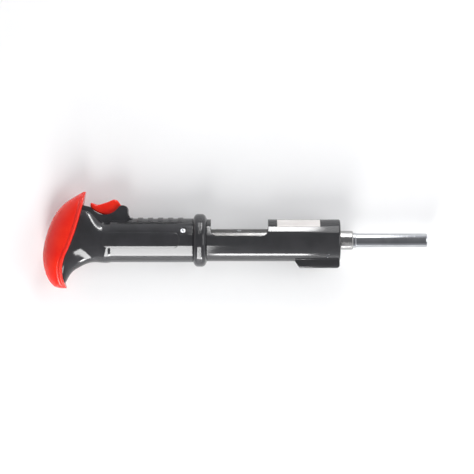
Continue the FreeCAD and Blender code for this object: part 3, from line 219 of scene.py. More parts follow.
# %% The room
world = bpy.data.worlds.new("room")
world.use_nodes = True
room_tree = world.node_tree
outlook = room_tree.nodes.new("ShaderNodeTexCoord")
apart = room_tree.nodes.new("ShaderNodeSeparateXYZ")
room_tree.links.new(outlook.outputs["Generated"], apart.inputs["Vector"])
overhead = spread(room_tree, apart.outputs["Z"], 0.05, 0.75, 0.95, 0.26)
sideways = spread(room_tree, apart.outputs["Y"], -0.9, 0.9, 0.70, 1.15)
room = room_tree.nodes["Background"]
room.inputs["Color"].default_value = (0.95, 0.96, 1.0, 1.0)
room_tree.links.new(maths(room_tree, "MULTIPLY", overhead, sideways), room.inputs["Strength"])
bpy.context.scene.world = world
bpy.context.scene.view_settings.view_transform = "Standard"
print("room", len(room_tree.nodes), "nodes")

# %% [markdown]
# ## Shared effects
# ** Soft edge**: a moulded or tumbled edge is never sharp. The Bevel node rounds the shading of each edge without
# touching the mesh, and where its normal leaves the face's own one, the surface is near an edge: that is the mask
# for a painted edge highlight, a lighter colour laid on in patches. **Grain**: fine noise for the mould's texture.
# **Turned lines**: noise squeezed along the bore axis, which runs round every turned part like the marks of a lathe
# tool. **Film**: broad patches that vary the gloss. All of them are groups that put out only masks, heights and
# normals, so each material keeps its own shader.

# %% Soft edge and painted edge highlight
edge_tree, start, end = new_group(
    "soft_edge", [("Radius", 0.0005), ("Patchiness", 900.0)],
    [("Normal", "NodeSocketVector"), ("Edge Highlight", "NodeSocketFloat")],
)
rounded = edge_tree.nodes.new("ShaderNodeBevel")
rounded.samples = 6
edge_tree.links.new(start.outputs["Radius"], rounded.inputs["Radius"])
facing = edge_tree.nodes.new("ShaderNodeNewGeometry")
likeness = edge_tree.nodes.new("ShaderNodeVectorMath")
likeness.operation = "DOT_PRODUCT"
edge_tree.links.new(rounded.outputs["Normal"], likeness.inputs[0])
edge_tree.links.new(facing.outputs["Normal"], likeness.inputs[1])
# Near an edge, in patches: the mask for a lighter colour painted on, a painted edge highlight.
edge = spread(edge_tree, likeness.outputs["Value"], 0.995, 0.90, 0.0, 1.0)
patch = spread(edge_tree, noise(edge_tree, start.outputs["Patchiness"]), 0.42, 0.62, 0.0, 1.0)
edge_tree.links.new(maths(edge_tree, "MULTIPLY", edge, patch, clamp=True), end.inputs["Edge Highlight"])
edge_tree.links.new(rounded.outputs["Normal"], end.inputs["Normal"])
print("soft_edge", len(edge_tree.nodes), "nodes")

# %% Grain, turned lines and film
grain_tree, start, end = new_group(
    "mould_grain", [("Waves", 9000.0)], [("Height", "NodeSocketFloat"), ("Patches", "NodeSocketFloat")]
)
grain_tree.links.new(noise(grain_tree, start.outputs["Waves"], 2.0), end.inputs["Height"])
grain_tree.links.new(noise(grain_tree, 60.0, 4.0), end.inputs["Patches"])

line_tree, start, end = new_group(
    "turned_lines", [("Waves", 2500.0)], [("Height", "NodeSocketFloat"), ("Patches", "NodeSocketFloat")]
)
fine = noise(line_tree, start.outputs["Waves"], 3.0, (1.0, 0.012, 0.012))
line_tree.links.new(fine, end.inputs["Height"])
line_tree.links.new(noise(line_tree, 90.0, 4.0), end.inputs["Patches"])

film_tree, start, end = new_group(
    "handling_film", [("Waves", 35.0), ("Amount", 0.5)],
    [("Film", "NodeSocketFloat"), ("Scratches", "NodeSocketFloat")],
)
cloud = spread(film_tree, noise(film_tree, start.outputs["Waves"], 5.0), 0.40, 0.72, 0.0, 1.0)
film_tree.links.new(maths(film_tree, "MULTIPLY", cloud, start.outputs["Amount"], clamp=True), end.inputs["Film"])
hair = noise(film_tree, 420.0, 6.0, (0.25, 6.0, 6.0))
film_tree.links.new(spread(film_tree, hair, 0.66, 0.74, 0.0, 1.0), end.inputs["Scratches"])
print("groups", sorted(t.name for t in bpy.data.node_groups))

# %% [markdown]
# ## One recipe for every finish
# A finish is its colour, a second colour that it drifts to in patches, its gloss and how that varies, the relief of
# its surface, and the lighter colour of a painted highlight on its edges. Plastics use the mould grain and metals
# the turned lines. The colour, the gloss and the relief are three small nets, which meet at the material's own
# shader.

# %% Colour of a finish
def shared(tree, group, **values):
    """A shared effect placed in a material, with its own values."""
    node = tree.nodes.new("ShaderNodeGroup")
    node.node_tree = bpy.data.node_groups[group]
    for word, number in values.items():
        node.inputs[word].default_value = number
    return node


def blended(tree, factor, first, second):
    """A mix of two colours, each a socket or three numbers."""
    node = tree.nodes.new("ShaderNodeMix")
    node.data_type = "RGBA"
    tree.links.new(factor, node.inputs["Factor"])
    for word, colour in (("A", first), ("B", second)):
        if isinstance(colour, bpy.types.NodeSocket):
            tree.links.new(colour, node.inputs[word])
        else:
            node.inputs[word].default_value = (*colour, 1.0)
    return node.outputs["Result"]


def towards_muzzle(tree, start_x):
    """A mask that turns on along the bore, over 2 mm before a place."""
    where = tree.nodes.new("ShaderNodeTexCoord")
    along_bore = tree.nodes.new("ShaderNodeSeparateXYZ")
    tree.links.new(where.outputs["Object"], along_bore.inputs["Vector"])
    return spread(tree, along_bore.outputs["X"], start_x - 0.002, start_x, 0.0, 1.0)


print("colour helpers ready")

# %% The recipe
def finish(name, colour, drift, gloss, metal=0.0, relief="mould_grain", waves=9000.0, height=0.02, edge=0.0004,
           edge_highlight=None, edge_highlight_share=0.5, film=0.3, polished=None):
    """A material from colour, drift colour and gloss, which is its lowest and highest roughness.

    polished is a colour, and the place along the bore from which the surface has it, towards the muzzle."""
    material = bpy.data.materials.new(name)
    material.use_nodes = True
    material.diffuse_color = (*colour, 1.0)
    tree = material.node_tree
    shader = tree.nodes["Principled BSDF"]
    texture = shared(tree, relief, Waves=waves)
    handled = shared(tree, "handling_film", Amount=film)
    border = shared(tree, "soft_edge", Radius=edge)

    tint = blended(tree, spread(tree, texture.outputs["Patches"], 0.35, 0.65, 0.0, 1.0), colour, drift)
    if polished:
        tint = blended(tree, towards_muzzle(tree, polished[1]), tint, polished[0])
    # Lighter colour laid on the edges in patches: a painted edge highlight.
    if edge_highlight:
        tint = blended(tree, maths(tree, "MULTIPLY", border.outputs["Edge Highlight"], edge_highlight_share, clamp=True), tint, edge_highlight)
    tree.links.new(tint, shader.inputs["Base Color"])

    matt = maths(tree, "ADD", handled.outputs["Film"], maths(tree, "MULTIPLY", handled.outputs["Scratches"], 0.35))
    tree.links.new(spread(tree, matt, 0.0, 1.0, gloss[0], gloss[1]), shader.inputs["Roughness"])
    shader.inputs["Metallic"].default_value = metal

    bump = tree.nodes.new("ShaderNodeBump")
    bump.inputs["Strength"].default_value = height
    bump.inputs["Distance"].default_value = 0.0004
    tree.links.new(texture.outputs["Height"], bump.inputs["Height"])
    tree.links.new(border.outputs["Normal"], bump.inputs["Normal"])
    tree.links.new(bump.outputs["Normal"], shader.inputs["Normal"])
    return material


print("finish() ready")

# %% [markdown]
# ## The finishes
# The shells are glass-filled nylon with a glossy skin, nearly black. The palm grip and the trigger are red-orange
# moulded nylon, the piston's buffer is rubber, and the label is bare paper stock. A material could also be one
# flat colour, but moulded parts give themselves away by their grain, and their edges get a painted highlight.

# %% The plastics
# The lighter edge colours below are painted edge highlights.
finishes = {
    "shell_black": finish(
        "black_nylon", (0.024, 0.024, 0.026), (0.030, 0.030, 0.033), (0.07, 0.24), height=0.008, waves=5200.0,
        edge=0.0006, edge_highlight=(0.055, 0.055, 0.058), edge_highlight_share=0.5, film=0.22),
    "front_black": finish(
        "gloss_black_nylon", (0.026, 0.026, 0.028), (0.032, 0.032, 0.034), (0.06, 0.20), height=0.006, waves=5200.0,
        edge=0.0006, edge_highlight=(0.055, 0.055, 0.058), edge_highlight_share=0.5, film=0.22),
    "grip_red": finish(
        "red_nylon", (0.74, 0.012, 0.004), (0.80, 0.022, 0.006), (0.20, 0.36), height=0.030, waves=4200.0,
        edge=0.0005, edge_highlight=(0.93, 0.22, 0.12), edge_highlight_share=0.35, film=0.30),
    "buffer_rubber": finish(
        "nitrile_rubber", (0.020, 0.020, 0.020), (0.030, 0.029, 0.028), (0.62, 0.82), waves=3000.0, height=0.16,
        edge=0.0005, film=0.4),
    "label_white": finish(
        "blank_label_stock", (0.66, 0.63, 0.61), (0.60, 0.57, 0.55), (0.30, 0.46), waves=2600.0, height=0.06,
        edge=0.0001, film=0.35),
}
print("plastics", len(finishes))

# %% [markdown]
# The muzzle is hard chrome, which is polished before plating, so its lines are very faint. Barrel and receiver are
# steel with a dark oil finish and visible turning marks, and the barrel's slim front end is rubbed bright, because
# it slides in the bushing. Fasteners are zinc plated and the screws' inserts are brass. Every slot of every
# machined part then gets the finish that the record names for it.

# %% The metals
# The lighter edge colours below are painted edge highlights.
finishes.update({
    "muzzle_chrome": finish(
        "hard_chrome", (0.54, 0.55, 0.57), (0.48, 0.49, 0.51), (0.06, 0.18), metal=1.0, relief="turned_lines",
        waves=3200.0, height=0.035, edge=0.0002, edge_highlight=(0.78, 0.78, 0.78), edge_highlight_share=0.4, film=0.25),
    "barrel_steel": finish(
        "oiled_steel", (0.115, 0.113, 0.111), (0.085, 0.084, 0.083), (0.16, 0.34), metal=1.0, relief="turned_lines",
        waves=2200.0, height=0.06, edge=0.0003, edge_highlight=(0.46, 0.45, 0.43), edge_highlight_share=0.7, film=0.45,
        polished=((0.40, 0.395, 0.39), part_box("front_housing")[1].x - 12 * mm)),
    "tube_steel": finish(
        "drawn_tube", (0.115, 0.118, 0.124), (0.075, 0.077, 0.081), (0.26, 0.50), metal=1.0, relief="turned_lines",
        waves=1700.0, height=0.10, edge=0.0003, edge_highlight=(0.42, 0.41, 0.40), edge_highlight_share=0.7, film=0.45),
    "breech_steel": finish(
        "hardened_steel", (0.27, 0.255, 0.235), (0.18, 0.172, 0.162), (0.24, 0.46), metal=1.0,
        relief="turned_lines", waves=1900.0, height=0.09, edge=0.0003, edge_highlight=(0.50, 0.49, 0.47),
        edge_highlight_share=0.7, film=0.4),
    "spring_steel": finish(
        "spring_wire", (0.34, 0.34, 0.345), (0.24, 0.24, 0.25), (0.22, 0.40), metal=1.0, relief="turned_lines",
        waves=3800.0, height=0.05, edge=0.0001, film=0.35),
    "fastener_steel": finish(
        "zinc_plate", (0.56, 0.565, 0.58), (0.44, 0.45, 0.47), (0.20, 0.38), metal=1.0, waves=6500.0, height=0.05,
        edge=0.00015, edge_highlight=(0.72, 0.72, 0.72), edge_highlight_share=0.4, film=0.4),
    "insert_brass": finish(
        "turned_brass", (0.72, 0.50, 0.20), (0.58, 0.38, 0.15), (0.20, 0.40), metal=1.0, relief="turned_lines",
        waves=2600.0, height=0.07, edge=0.00015, film=0.35),
})
for node in nodes.values():
    for place in node.material_slots:
        place.material = finishes[place.material.name]
print("finishes", len(finishes))

# %% [markdown]
# ## Floor finish
# A pale sheet of card, a little uneven, so that the shadow under the tool has a surface to lie on.

# %% Floor finish
card = bpy.data.materials.new("pale_card")
card.use_nodes = True
card_tree = card.node_tree
card_shader = card_tree.nodes["Principled BSDF"]
tones = card_tree.nodes.new("ShaderNodeMix")
tones.data_type = "RGBA"
tones.inputs["A"].default_value = (0.86, 0.86, 0.86, 1.0)
tones.inputs["B"].default_value = (0.90, 0.90, 0.90, 1.0)
card_tree.links.new(noise(card_tree, 14.0), tones.inputs["Factor"])
card_tree.links.new(tones.outputs["Result"], card_shader.inputs["Base Color"])
card_shader.inputs["Roughness"].default_value = 0.7
floor_mesh.materials.append(card)
print("floor", card.name)

# %% [markdown]
# ## Palm grip
# The palm grip is a crescent pillow, fitted over the end of the rear shells. Its sections are flat ovals, narrow at
# both tips and fullest just below the middle, and the seam to the black shells cuts each oval along an S-shaped
# line. Along that seam the red plastic has a rolled lip. It could be sculpted, but its rule is known, and a loft of
# rings follows a rule exactly. First come the rule's two halves: the ovals' sizes and the seam's line.

# %% Palm grip: the rule of its shape
palm_low, palm_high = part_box("palm_grip")
grip_start = palm_low.x + 54.3 * mm
# Each row: height, place of the oval's centre, its depth and its width, all as shares of the grip's own sizes.
palm_sections = [
    (-1.0, 0.600, 0.17, 0.14), (-0.98, 0.600, 0.35, 0.33), (-0.93, 0.605, 0.46, 0.50), (-0.84, 0.625, 0.54, 0.66),
    (-0.69, 0.650, 0.61, 0.80), (-0.44, 0.630, 0.74, 0.94), (-0.22, 0.556, 0.889, 1.0), (0.13, 0.440, 0.994, 1.0),
    (0.48, 0.352, 0.93, 0.90), (0.75, 0.305, 0.667, 0.70), (0.88, 0.280, 0.390, 0.51), (0.96, 0.262, 0.190, 0.27),
    (1.0, 0.255, 0.095, 0.12),
]


def along(rows, place):
    """The row of numbers at a place between given rows, on a smooth curve through them."""
    last = len(rows) - 1
    n = max(k for k in range(last) if rows[k][0] <= place or k == 0)
    before, left, right, after = rows[max(n - 1, 0)], rows[n], rows[n + 1], rows[min(n + 2, last)]
    gap = right[0] - left[0]
    t = (place - left[0]) / gap
    found = []
    for k in range(1, len(left)):
        slope_left = (right[k] - before[k]) / (right[0] - before[0]) * gap
        slope_right = (after[k] - left[k]) / (after[0] - left[0]) * gap
        found.append(
            (2 * t**3 - 3 * t**2 + 1) * left[k] + (t**3 - 2 * t**2 + t) * slope_left
            + (3 * t**2 - 2 * t**3) * right[k] + (t**3 - t**2) * slope_right
        )
    return found


print("half way up, as shares:", [round(share, 3) for share in along(palm_sections, 0.5)])

# %% [markdown]
# The seam runs up the grip in five stretches: straight at both ends and through the short hip, and bowed twice
# between, first towards the palm and then back. Each bow is part of a circle, which three points fix.

# %% Palm grip: the seam
def bow(height, first, via, last):
    """The X of the circle through three points, at a height."""
    (ax, ay), (bx, by), (cx, cy) = first, via, last
    d = 2 * (ax * (by - cy) + bx * (cy - ay) + cx * (ay - by))
    squares = [x * x + y * y for x, y in (first, via, last)]
    ux = (squares[0] * (by - cy) + squares[1] * (cy - ay) + squares[2] * (ay - by)) / d
    uy = (squares[0] * (cx - bx) + squares[1] * (ax - cx) + squares[2] * (bx - ax)) / d
    reach = math.sqrt(max((ax - ux) ** 2 + (ay - uy) ** 2 - (height - uy) ** 2, 0.0))
    return ux + math.copysign(reach, bx - ux)


def straight(height, first, last):
    """The X of a straight run between two points, at a height."""
    share = (height - first[1]) / (last[1] - first[1])
    return first[0] + (last[0] - first[0]) * share


# The seam's turning points, in mm behind the grip's start and above the bore axis.
seam_top, seam_bend, seam_hip = (-11.9, 54.5), (-15.9, 33.7), (-16.8, 30.9)
seam_waist, seam_heel, seam_toe = (-30.2, -9.9), (-32.4, -42.75), (-28.1, -54.0)


def seam_x(height):
    """The seam between black shells and red palm grip, in metres, at a height."""
    h = height / mm
    if h > seam_bend[1]:
        x = straight(h, seam_top, seam_bend)
    elif h > seam_hip[1]:
        x = straight(h, seam_bend, seam_hip)
    elif h > seam_waist[1]:
        x = bow(h, seam_hip, (-23.3, 7.7), seam_waist)
    elif h > seam_heel[1]:
        x = bow(h, seam_waist, (-35.3, -27.9), seam_heel)
    else:
        x = straight(h, seam_heel, seam_toe)
    return grip_start + x * mm


print("seam in mm", [round(seam_x(h * mm) * 1000, 1) for h in (45, 20, 0, -20, -44)])

# %% Palm grip: the skin
def skin(name, rings, slot_name, levels, body="housing"):
    """A closed mesh through rings with equal numbers of points, capped at both ends."""
    mesh = bpy.data.meshes.new(name)
    model = bmesh.new()
    loops = [[model.verts.new(p) for p in ring] for ring in rings]
    for near, far in zip(loops, loops[1:]):
        for k in range(len(near)):
            model.faces.new((near[k], near[k - 1], far[k - 1], far[k]))
    for loop in (loops[0], loops[-1]):
        centre = model.verts.new(sum((v.co for v in loop), Vector()) / len(loop))
        for k in range(len(loop)):
            model.faces.new((loop[k - 1], loop[k], centre))
    bmesh.ops.recalc_face_normals(model, faces=model.faces)
    for face in model.faces:
        face.smooth = True
    model.to_mesh(mesh)
    model.free()
    mesh.materials.append(finishes[slot_name])
    piece = bpy.data.objects.new(name, mesh)
    bpy.context.scene.collection.objects.link(piece)
    smooth = piece.modifiers.new("smooth", "SUBSURF")
    smooth.levels = smooth.render_levels = levels
    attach(piece, body)
    return piece


print("skin() ready")

# %% [markdown]
# Each ring starts at the seam, climbs over the lip with close points, and follows its oval round the back with
# wider ones. Its other half is the mirror image. Near the tips the rings lie closer together, and the lip shrinks
# with the oval. A subdivision surface then rounds the whole.

# %% Palm grip: the rings
palm_heights = [-1.0, -0.99, -0.97, -0.94, -0.90, -0.85] + [-0.80 + 0.06 * k for k in range(28)]
palm_heights += [0.87, 0.91, 0.945, 0.97, 0.99, 1.0]
# Each lip point: how far behind the seam, and how far above the oval, in mm.
lip = [(0.0, -1.5), (0.2, -0.2), (0.8, 0.75), (1.9, 1.05), (3.0, 0.75), (3.6, -0.25), (4.2, -0.65), (5.0, -0.1)]
half_width, depth = palm_high.z, 27.0 * mm
palm_rings = []
for share in palm_heights:
    centre_share, depth_share, wide_share = along(palm_sections, share)
    height = share * (palm_high.y if share > 0 else -palm_low.y)
    centre = grip_start - 54.0 * mm * centre_share
    deep, wide = depth * depth_share, half_width * wide_share
    cosine = max(min((seam_x(height) - centre) / deep, 0.94), -0.94)
    seam_angle = math.acos(cosine)
    lip_size = min(1.0, deep / (14 * mm)) * mm
    reach = math.hypot(deep * math.sin(seam_angle), wide * math.cos(seam_angle))
    side = []
    for back, proud in lip:
        angle = seam_angle + back * lip_size / reach
        out = Vector((wide * math.cos(angle), 0.0, deep * math.sin(angle))).normalized()
        on_oval = Vector((centre + deep * math.cos(angle), height, wide * math.sin(angle)))
        side.append(on_oval + out * proud * lip_size)
    lip_end = seam_angle + lip[-1][0] * lip_size / reach
    for k in range(1, 10):
        angle = lip_end + (math.pi - lip_end) * k / 9.5
        side.append(Vector((centre + deep * math.cos(angle), height, wide * math.sin(angle))))
    front = [Vector((side[0].x, height, side[0].z * share_in)) for share_in in (0.25, 0.75)]
    right = front + side
    left = [Vector((p.x, p.y, -p.z)) for p in reversed(right)]
    palm_rings.append(right + left)
palm = skin("palm_grip_skin", palm_rings, "grip_red", 2)
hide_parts("palm_grip")
print("palm rings", len(palm_rings), "points each", len(palm_rings[0]))

# %% [markdown]
# ## Ribs on the trigger side
# Six low ribs cross the crown of the rear body. They are one bar, repeated at a fixed pitch and bent round the bore
# axis, which is what Geometry Nodes do well: the tree has the bar's sizes and the pitch as named inputs, so the row
# can be changed without modelling it again. Two helpers open and close every tree here. The end of each makes real
# copies of its instances, because an export drops them, and sets the material.

# %% Helpers for Geometry Nodes
def geometry_tree(name, numbers):
    """A Geometry Nodes tree with a geometry output, a material input and named number inputs."""
    tree = bpy.data.node_groups.new(name, "GeometryNodeTree")
    tree.interface.new_socket("Geometry", in_out="INPUT", socket_type="NodeSocketGeometry")
    tree.interface.new_socket("Material", in_out="INPUT", socket_type="NodeSocketMaterial")
    for word, kind, value in numbers:
        socket = tree.interface.new_socket(word, in_out="INPUT", socket_type=kind)
        socket.default_value = value
    tree.interface.new_socket("Geometry", in_out="OUTPUT", socket_type="NodeSocketGeometry")
    return tree, tree.nodes.new("NodeGroupInput"), tree.nodes.new("NodeGroupOutput")


def finish_tree(tree, start, end, geometry):
    """Realize the copies, shade them smooth and give them the material."""
    real = tree.nodes.new("GeometryNodeRealizeInstances")
    shade = tree.nodes.new("GeometryNodeSetShadeSmooth")
    paint = tree.nodes.new("GeometryNodeSetMaterial")
    tree.links.new(geometry, real.inputs["Geometry"])
    tree.links.new(real.outputs["Geometry"], shade.inputs["Geometry"])
    tree.links.new(shade.outputs["Geometry"], paint.inputs["Geometry"])
    tree.links.new(start.outputs["Material"], paint.inputs["Material"])
    tree.links.new(paint.outputs["Geometry"], end.inputs["Geometry"])


print("tree helpers ready")

# %% [markdown]
# The bar is a box of a few faces, rounded by a subdivision. Its Y becomes an angle round the bore and its Z a
# distance from it, so it bends like a strip round a tube. That swap turns the faces inside out, and Flip Faces
# turns them back. A line of points then carries the copies.

# %% Ribs: the tree
rib_tree, start, end = geometry_tree("rib_row", [
    ("Count", "NodeSocketInt", 6), ("Pitch", "NodeSocketFloat", 0.0094), ("First", "NodeSocketFloat", 0.0),
    ("Width", "NodeSocketFloat", 0.005), ("Length", "NodeSocketFloat", 0.024),
    ("Thickness", "NodeSocketFloat", 0.0016), ("Radius", "NodeSocketFloat", 0.0205),
])
bar = rib_tree.nodes.new("GeometryNodeMeshCube")
bar.inputs["Vertices X"].default_value = 4
bar.inputs["Vertices Y"].default_value = 14
bar.inputs["Vertices Z"].default_value = 3
bar_size = rib_tree.nodes.new("ShaderNodeCombineXYZ")
for socket, word in (("X", "Width"), ("Y", "Length"), ("Z", "Thickness")):
    rib_tree.links.new(start.outputs[word], bar_size.inputs[socket])
rib_tree.links.new(bar_size.outputs["Vector"], bar.inputs["Size"])
round_off = rib_tree.nodes.new("GeometryNodeSubdivisionSurface")
round_off.inputs["Level"].default_value = 2
rib_tree.links.new(bar.outputs["Mesh"], round_off.inputs["Mesh"])
place = rib_tree.nodes.new("GeometryNodeInputPosition")
apart = rib_tree.nodes.new("ShaderNodeSeparateXYZ")
rib_tree.links.new(place.outputs["Position"], apart.inputs["Vector"])
turn = maths(rib_tree, "DIVIDE", apart.outputs["Y"], start.outputs["Radius"])
reach = maths(rib_tree, "ADD", apart.outputs["Z"], start.outputs["Radius"])
bent = rib_tree.nodes.new("ShaderNodeCombineXYZ")
rib_tree.links.new(apart.outputs["X"], bent.inputs["X"])
rib_tree.links.new(maths(rib_tree, "MULTIPLY", reach, maths(rib_tree, "COSINE", turn)), bent.inputs["Y"])
rib_tree.links.new(maths(rib_tree, "MULTIPLY", reach, maths(rib_tree, "SINE", turn)), bent.inputs["Z"])
move = rib_tree.nodes.new("GeometryNodeSetPosition")
rib_tree.links.new(round_off.outputs["Mesh"], move.inputs["Geometry"])
rib_tree.links.new(bent.outputs["Vector"], move.inputs["Position"])
row = rib_tree.nodes.new("GeometryNodeMeshLine")
rib_tree.links.new(start.outputs["Count"], row.inputs["Count"])
for word, source in (("Start Location", "First"), ("Offset", "Pitch")):
    step = rib_tree.nodes.new("ShaderNodeCombineXYZ")
    rib_tree.links.new(start.outputs[source], step.inputs["X"])
    rib_tree.links.new(step.outputs["Vector"], row.inputs[word])
outward = rib_tree.nodes.new("GeometryNodeFlipFaces")
rib_tree.links.new(move.outputs["Geometry"], outward.inputs["Mesh"])
copies = rib_tree.nodes.new("GeometryNodeInstanceOnPoints")
rib_tree.links.new(row.outputs["Mesh"], copies.inputs["Points"])
rib_tree.links.new(outward.outputs["Mesh"], copies.inputs["Instance"])
finish_tree(rib_tree, start, end, copies.outputs["Instances"])
print("rib_row", len(rib_tree.nodes), "nodes")

# %% [markdown]
# A tree needs an object to run on. The helper gives it a seed mesh, sets the inputs by their identifiers before
# anything is evaluated, keeps the result as a plain mesh, and lets the seed go.

# %% Ribs: the piece
def grow(name, tree, base, values, slot_name, body="housing"):
    """Run a tree on a base mesh, and keep the result as a plain mesh with a slot's finish, riding on a body."""
    seed = bpy.data.objects.new(name + "_seed", base)
    bpy.context.scene.collection.objects.link(seed)
    modifier = seed.modifiers.new("grow", "NODES")
    modifier.node_group = tree
    values = {"Material": finishes[slot_name], **values}
    for item in tree.interface.items_tree:
        if item.in_out == "INPUT" and item.name in values:
            modifier[item.identifier] = values[item.name]
    seed.update_tag()
    bpy.context.view_layer.update()
    evaluated = seed.evaluated_get(bpy.context.evaluated_depsgraph_get())
    mesh = bpy.data.meshes.new_from_object(evaluated)
    seed.modifiers.remove(modifier)
    bpy.data.objects.remove(seed)
    mesh.name = name
    piece = bpy.data.objects.new(name, mesh)
    bpy.context.scene.collection.objects.link(piece)
    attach(piece, body)
    return piece


ring_low, ring_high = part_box("guard_ring")
body_radius = ring_high.y - 4.2 * mm
ribs = grow("crown_ribs", rib_tree, bpy.data.meshes.new("rib_seed"), {
    "Count": 6, "Pitch": -9.4 * mm, "First": ring_low.x - 11.5 * mm, "Width": 5.3 * mm, "Length": 25.0 * mm,
    "Thickness": 2.0 * mm, "Radius": body_radius - 0.2 * mm,
}, "shell_black")
print("ribs", len(ribs.data.polygons), "faces; body radius", round(body_radius / mm, 2))

# %% [markdown]
# ## Screws on the left side
# Six pan-head screws close the shells and hold the palm grip, and all of them go in from the left. They are one
# screw at six places. The tree builds the screw once: a disc with a domed edge, a cross recess cut by two bars, and
# a shank. It is then set on the points of a small mesh, so the places stay apart from the shape. A screw could be
# turned with Screw or Spin as well, but its cross would still have to be cut.

# %% Screws: head and shank
screw_tree, start, end = geometry_tree("pan_head_screw", [
    ("Head Radius", "NodeSocketFloat", 0.0022), ("Head Height", "NodeSocketFloat", 0.0018),
    ("Shank Radius", "NodeSocketFloat", 0.00125), ("Shank Length", "NodeSocketFloat", 0.009),
    ("Recess Width", "NodeSocketFloat", 0.0006), ("Recess Length", "NodeSocketFloat", 0.0026),
])


def cone(below, above, length, lift):
    """A cone or drum in the screw's tree, between two radii, lifted along its axis."""
    node = screw_tree.nodes.new("GeometryNodeMeshCone")
    node.inputs["Vertices"].default_value = 32
    for word, term in (("Radius Bottom", below), ("Radius Top", above), ("Depth", length)):
        screw_tree.links.new(term, node.inputs[word])
    move = screw_tree.nodes.new("GeometryNodeTransform")
    screw_tree.links.new(node.outputs["Mesh"], move.inputs["Geometry"])
    offset = screw_tree.nodes.new("ShaderNodeCombineXYZ")
    screw_tree.links.new(lift, offset.inputs["Z"])
    screw_tree.links.new(offset.outputs["Vector"], move.inputs["Translation"])
    return move.outputs["Geometry"]


def times(socket, factor):
    """A socket's number times a factor."""
    return maths(screw_tree, "MULTIPLY", socket, factor)


# Parts that only touch leave loose faces in a union, so each part reaches a little into the next one.
wide, tall = start.outputs["Head Radius"], start.outputs["Head Height"]
rim = cone(wide, wide, times(tall, 0.55), times(tall, 0.0))
crown = cone(times(wide, 0.99), times(wide, 0.72), times(tall, 0.5), times(tall, 0.5))
shank_length = maths(screw_tree, "ADD", start.outputs["Shank Length"], times(tall, 0.2))
shank = cone(start.outputs["Shank Radius"], start.outputs["Shank Radius"], shank_length,
             times(start.outputs["Shank Length"], -1.0))
solid = screw_tree.nodes.new("GeometryNodeMeshBoolean")
solid.operation = "UNION"
for part in (rim, crown, shank):
    screw_tree.links.new(part, solid.inputs["Mesh 2"])
print("screw so far", len(screw_tree.nodes), "nodes")

# %% [markdown]
# The two bars of the cross end at slightly different depths, because two cutters with their floors in one plane
# leave open edges. The screw stands on each point turned over, so that its head looks to the left, and its cross
# is turned a little, as a driver leaves it.

# %% Screws: the recess
recess = screw_tree.nodes.new("GeometryNodeMeshBoolean")
recess.operation = "DIFFERENCE"
screw_tree.links.new(solid.outputs["Mesh"], recess.inputs["Mesh 1"])
for across, raised in ((0.0, 1.0), (math.pi / 2, 1.03)):
    slot_bar = screw_tree.nodes.new("GeometryNodeMeshCube")
    slot_size = screw_tree.nodes.new("ShaderNodeCombineXYZ")
    screw_tree.links.new(start.outputs["Recess Length"], slot_size.inputs["X"])
    screw_tree.links.new(start.outputs["Recess Width"], slot_size.inputs["Y"])
    screw_tree.links.new(tall, slot_size.inputs["Z"])
    screw_tree.links.new(slot_size.outputs["Vector"], slot_bar.inputs["Size"])
    set_in = screw_tree.nodes.new("GeometryNodeTransform")
    set_in.inputs["Rotation"].default_value = (0.0, 0.0, across)
    lift = screw_tree.nodes.new("ShaderNodeCombineXYZ")
    screw_tree.links.new(times(tall, raised), lift.inputs["Z"])
    screw_tree.links.new(slot_bar.outputs["Mesh"], set_in.inputs["Geometry"])
    screw_tree.links.new(lift.outputs["Vector"], set_in.inputs["Translation"])
    screw_tree.links.new(set_in.outputs["Geometry"], recess.inputs["Mesh 2"])
face_left = screw_tree.nodes.new("GeometryNodeInstanceOnPoints")
cross_turn = 0.6
face_left.inputs["Rotation"].default_value = (math.pi, 0.0, cross_turn)
screw_tree.links.new(start.outputs["Geometry"], face_left.inputs["Points"])
screw_tree.links.new(recess.outputs["Mesh"], face_left.inputs["Instance"])
finish_tree(screw_tree, start, end, face_left.outputs["Instances"])
print("pan_head_screw", len(screw_tree.nodes), "nodes")

# %% [markdown]
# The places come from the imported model. Each of its plain screws is an island of faces, so walking from corner to
# corner along the edges finds one screw at a time, and its box says where it stands and how long it is.

# %% Screws: the places
def screw_places(node):
    """Where a node's screws stand, found as the separate islands of its mesh: x, y, lowest and highest z."""
    model = bmesh.new()
    model.from_mesh(nodes[node].data)
    bmesh.ops.remove_doubles(model, verts=model.verts, dist=1e-6)
    unseen, places = set(model.verts), []
    while unseen:
        island, front = set(), [unseen.pop()]
        while front:
            vert = front.pop()
            island.add(vert)
            for edge in vert.link_edges:
                other = edge.other_vert(vert)
                if other in unseen:
                    unseen.remove(other)
                    front.append(other)
        low = [min(v.co[k] for v in island) for k in range(3)]
        high = [max(v.co[k] for v in island) for k in range(3)]
        places.append(((low[0] + high[0]) / 2, (low[1] + high[1]) / 2, low[2], high[2]))
    model.free()
    return sorted(places)


print("places in mm", [tuple(round(v / mm, 1) for v in place) for place in screw_places("grip_screws")])

# %% Screws: the pieces
head_height = 1.8 * mm
for node, name in (("housing_screws", "shell_screws"), ("grip_screws", "palm_screws")):
    found = screw_places(node)
    seeds = bpy.data.meshes.new(name + "_places")
    seeds.from_pydata([(x, y, low + head_height) for x, y, low, high in found], [], [])
    screws = grow(name, screw_tree, seeds, {
        "Head Radius": 2.2 * mm, "Head Height": head_height,
        "Shank Radius": 1.25 * mm, "Shank Length": found[0][3] - found[0][2] - head_height,
        "Recess Width": 0.6 * mm, "Recess Length": 2.6 * mm,
    }, "fastener_steel")
    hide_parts(node)
    print(name, len(found), "places,", len(screws.data.polygons), "faces")

# %% [markdown]
# ## Springs
# The springs hide inside, but the joints work against them: the return spring holds the breech forward, the firing
# spring drives the striker, and a small one lifts the trigger. A real one is wire wound on a mandrel. A coil could
# be made with the Screw modifier. Geometry Nodes have a Spiral curve, and one circle swept along it is the whole
# spring, with its turns and its wire as inputs, so that is used.

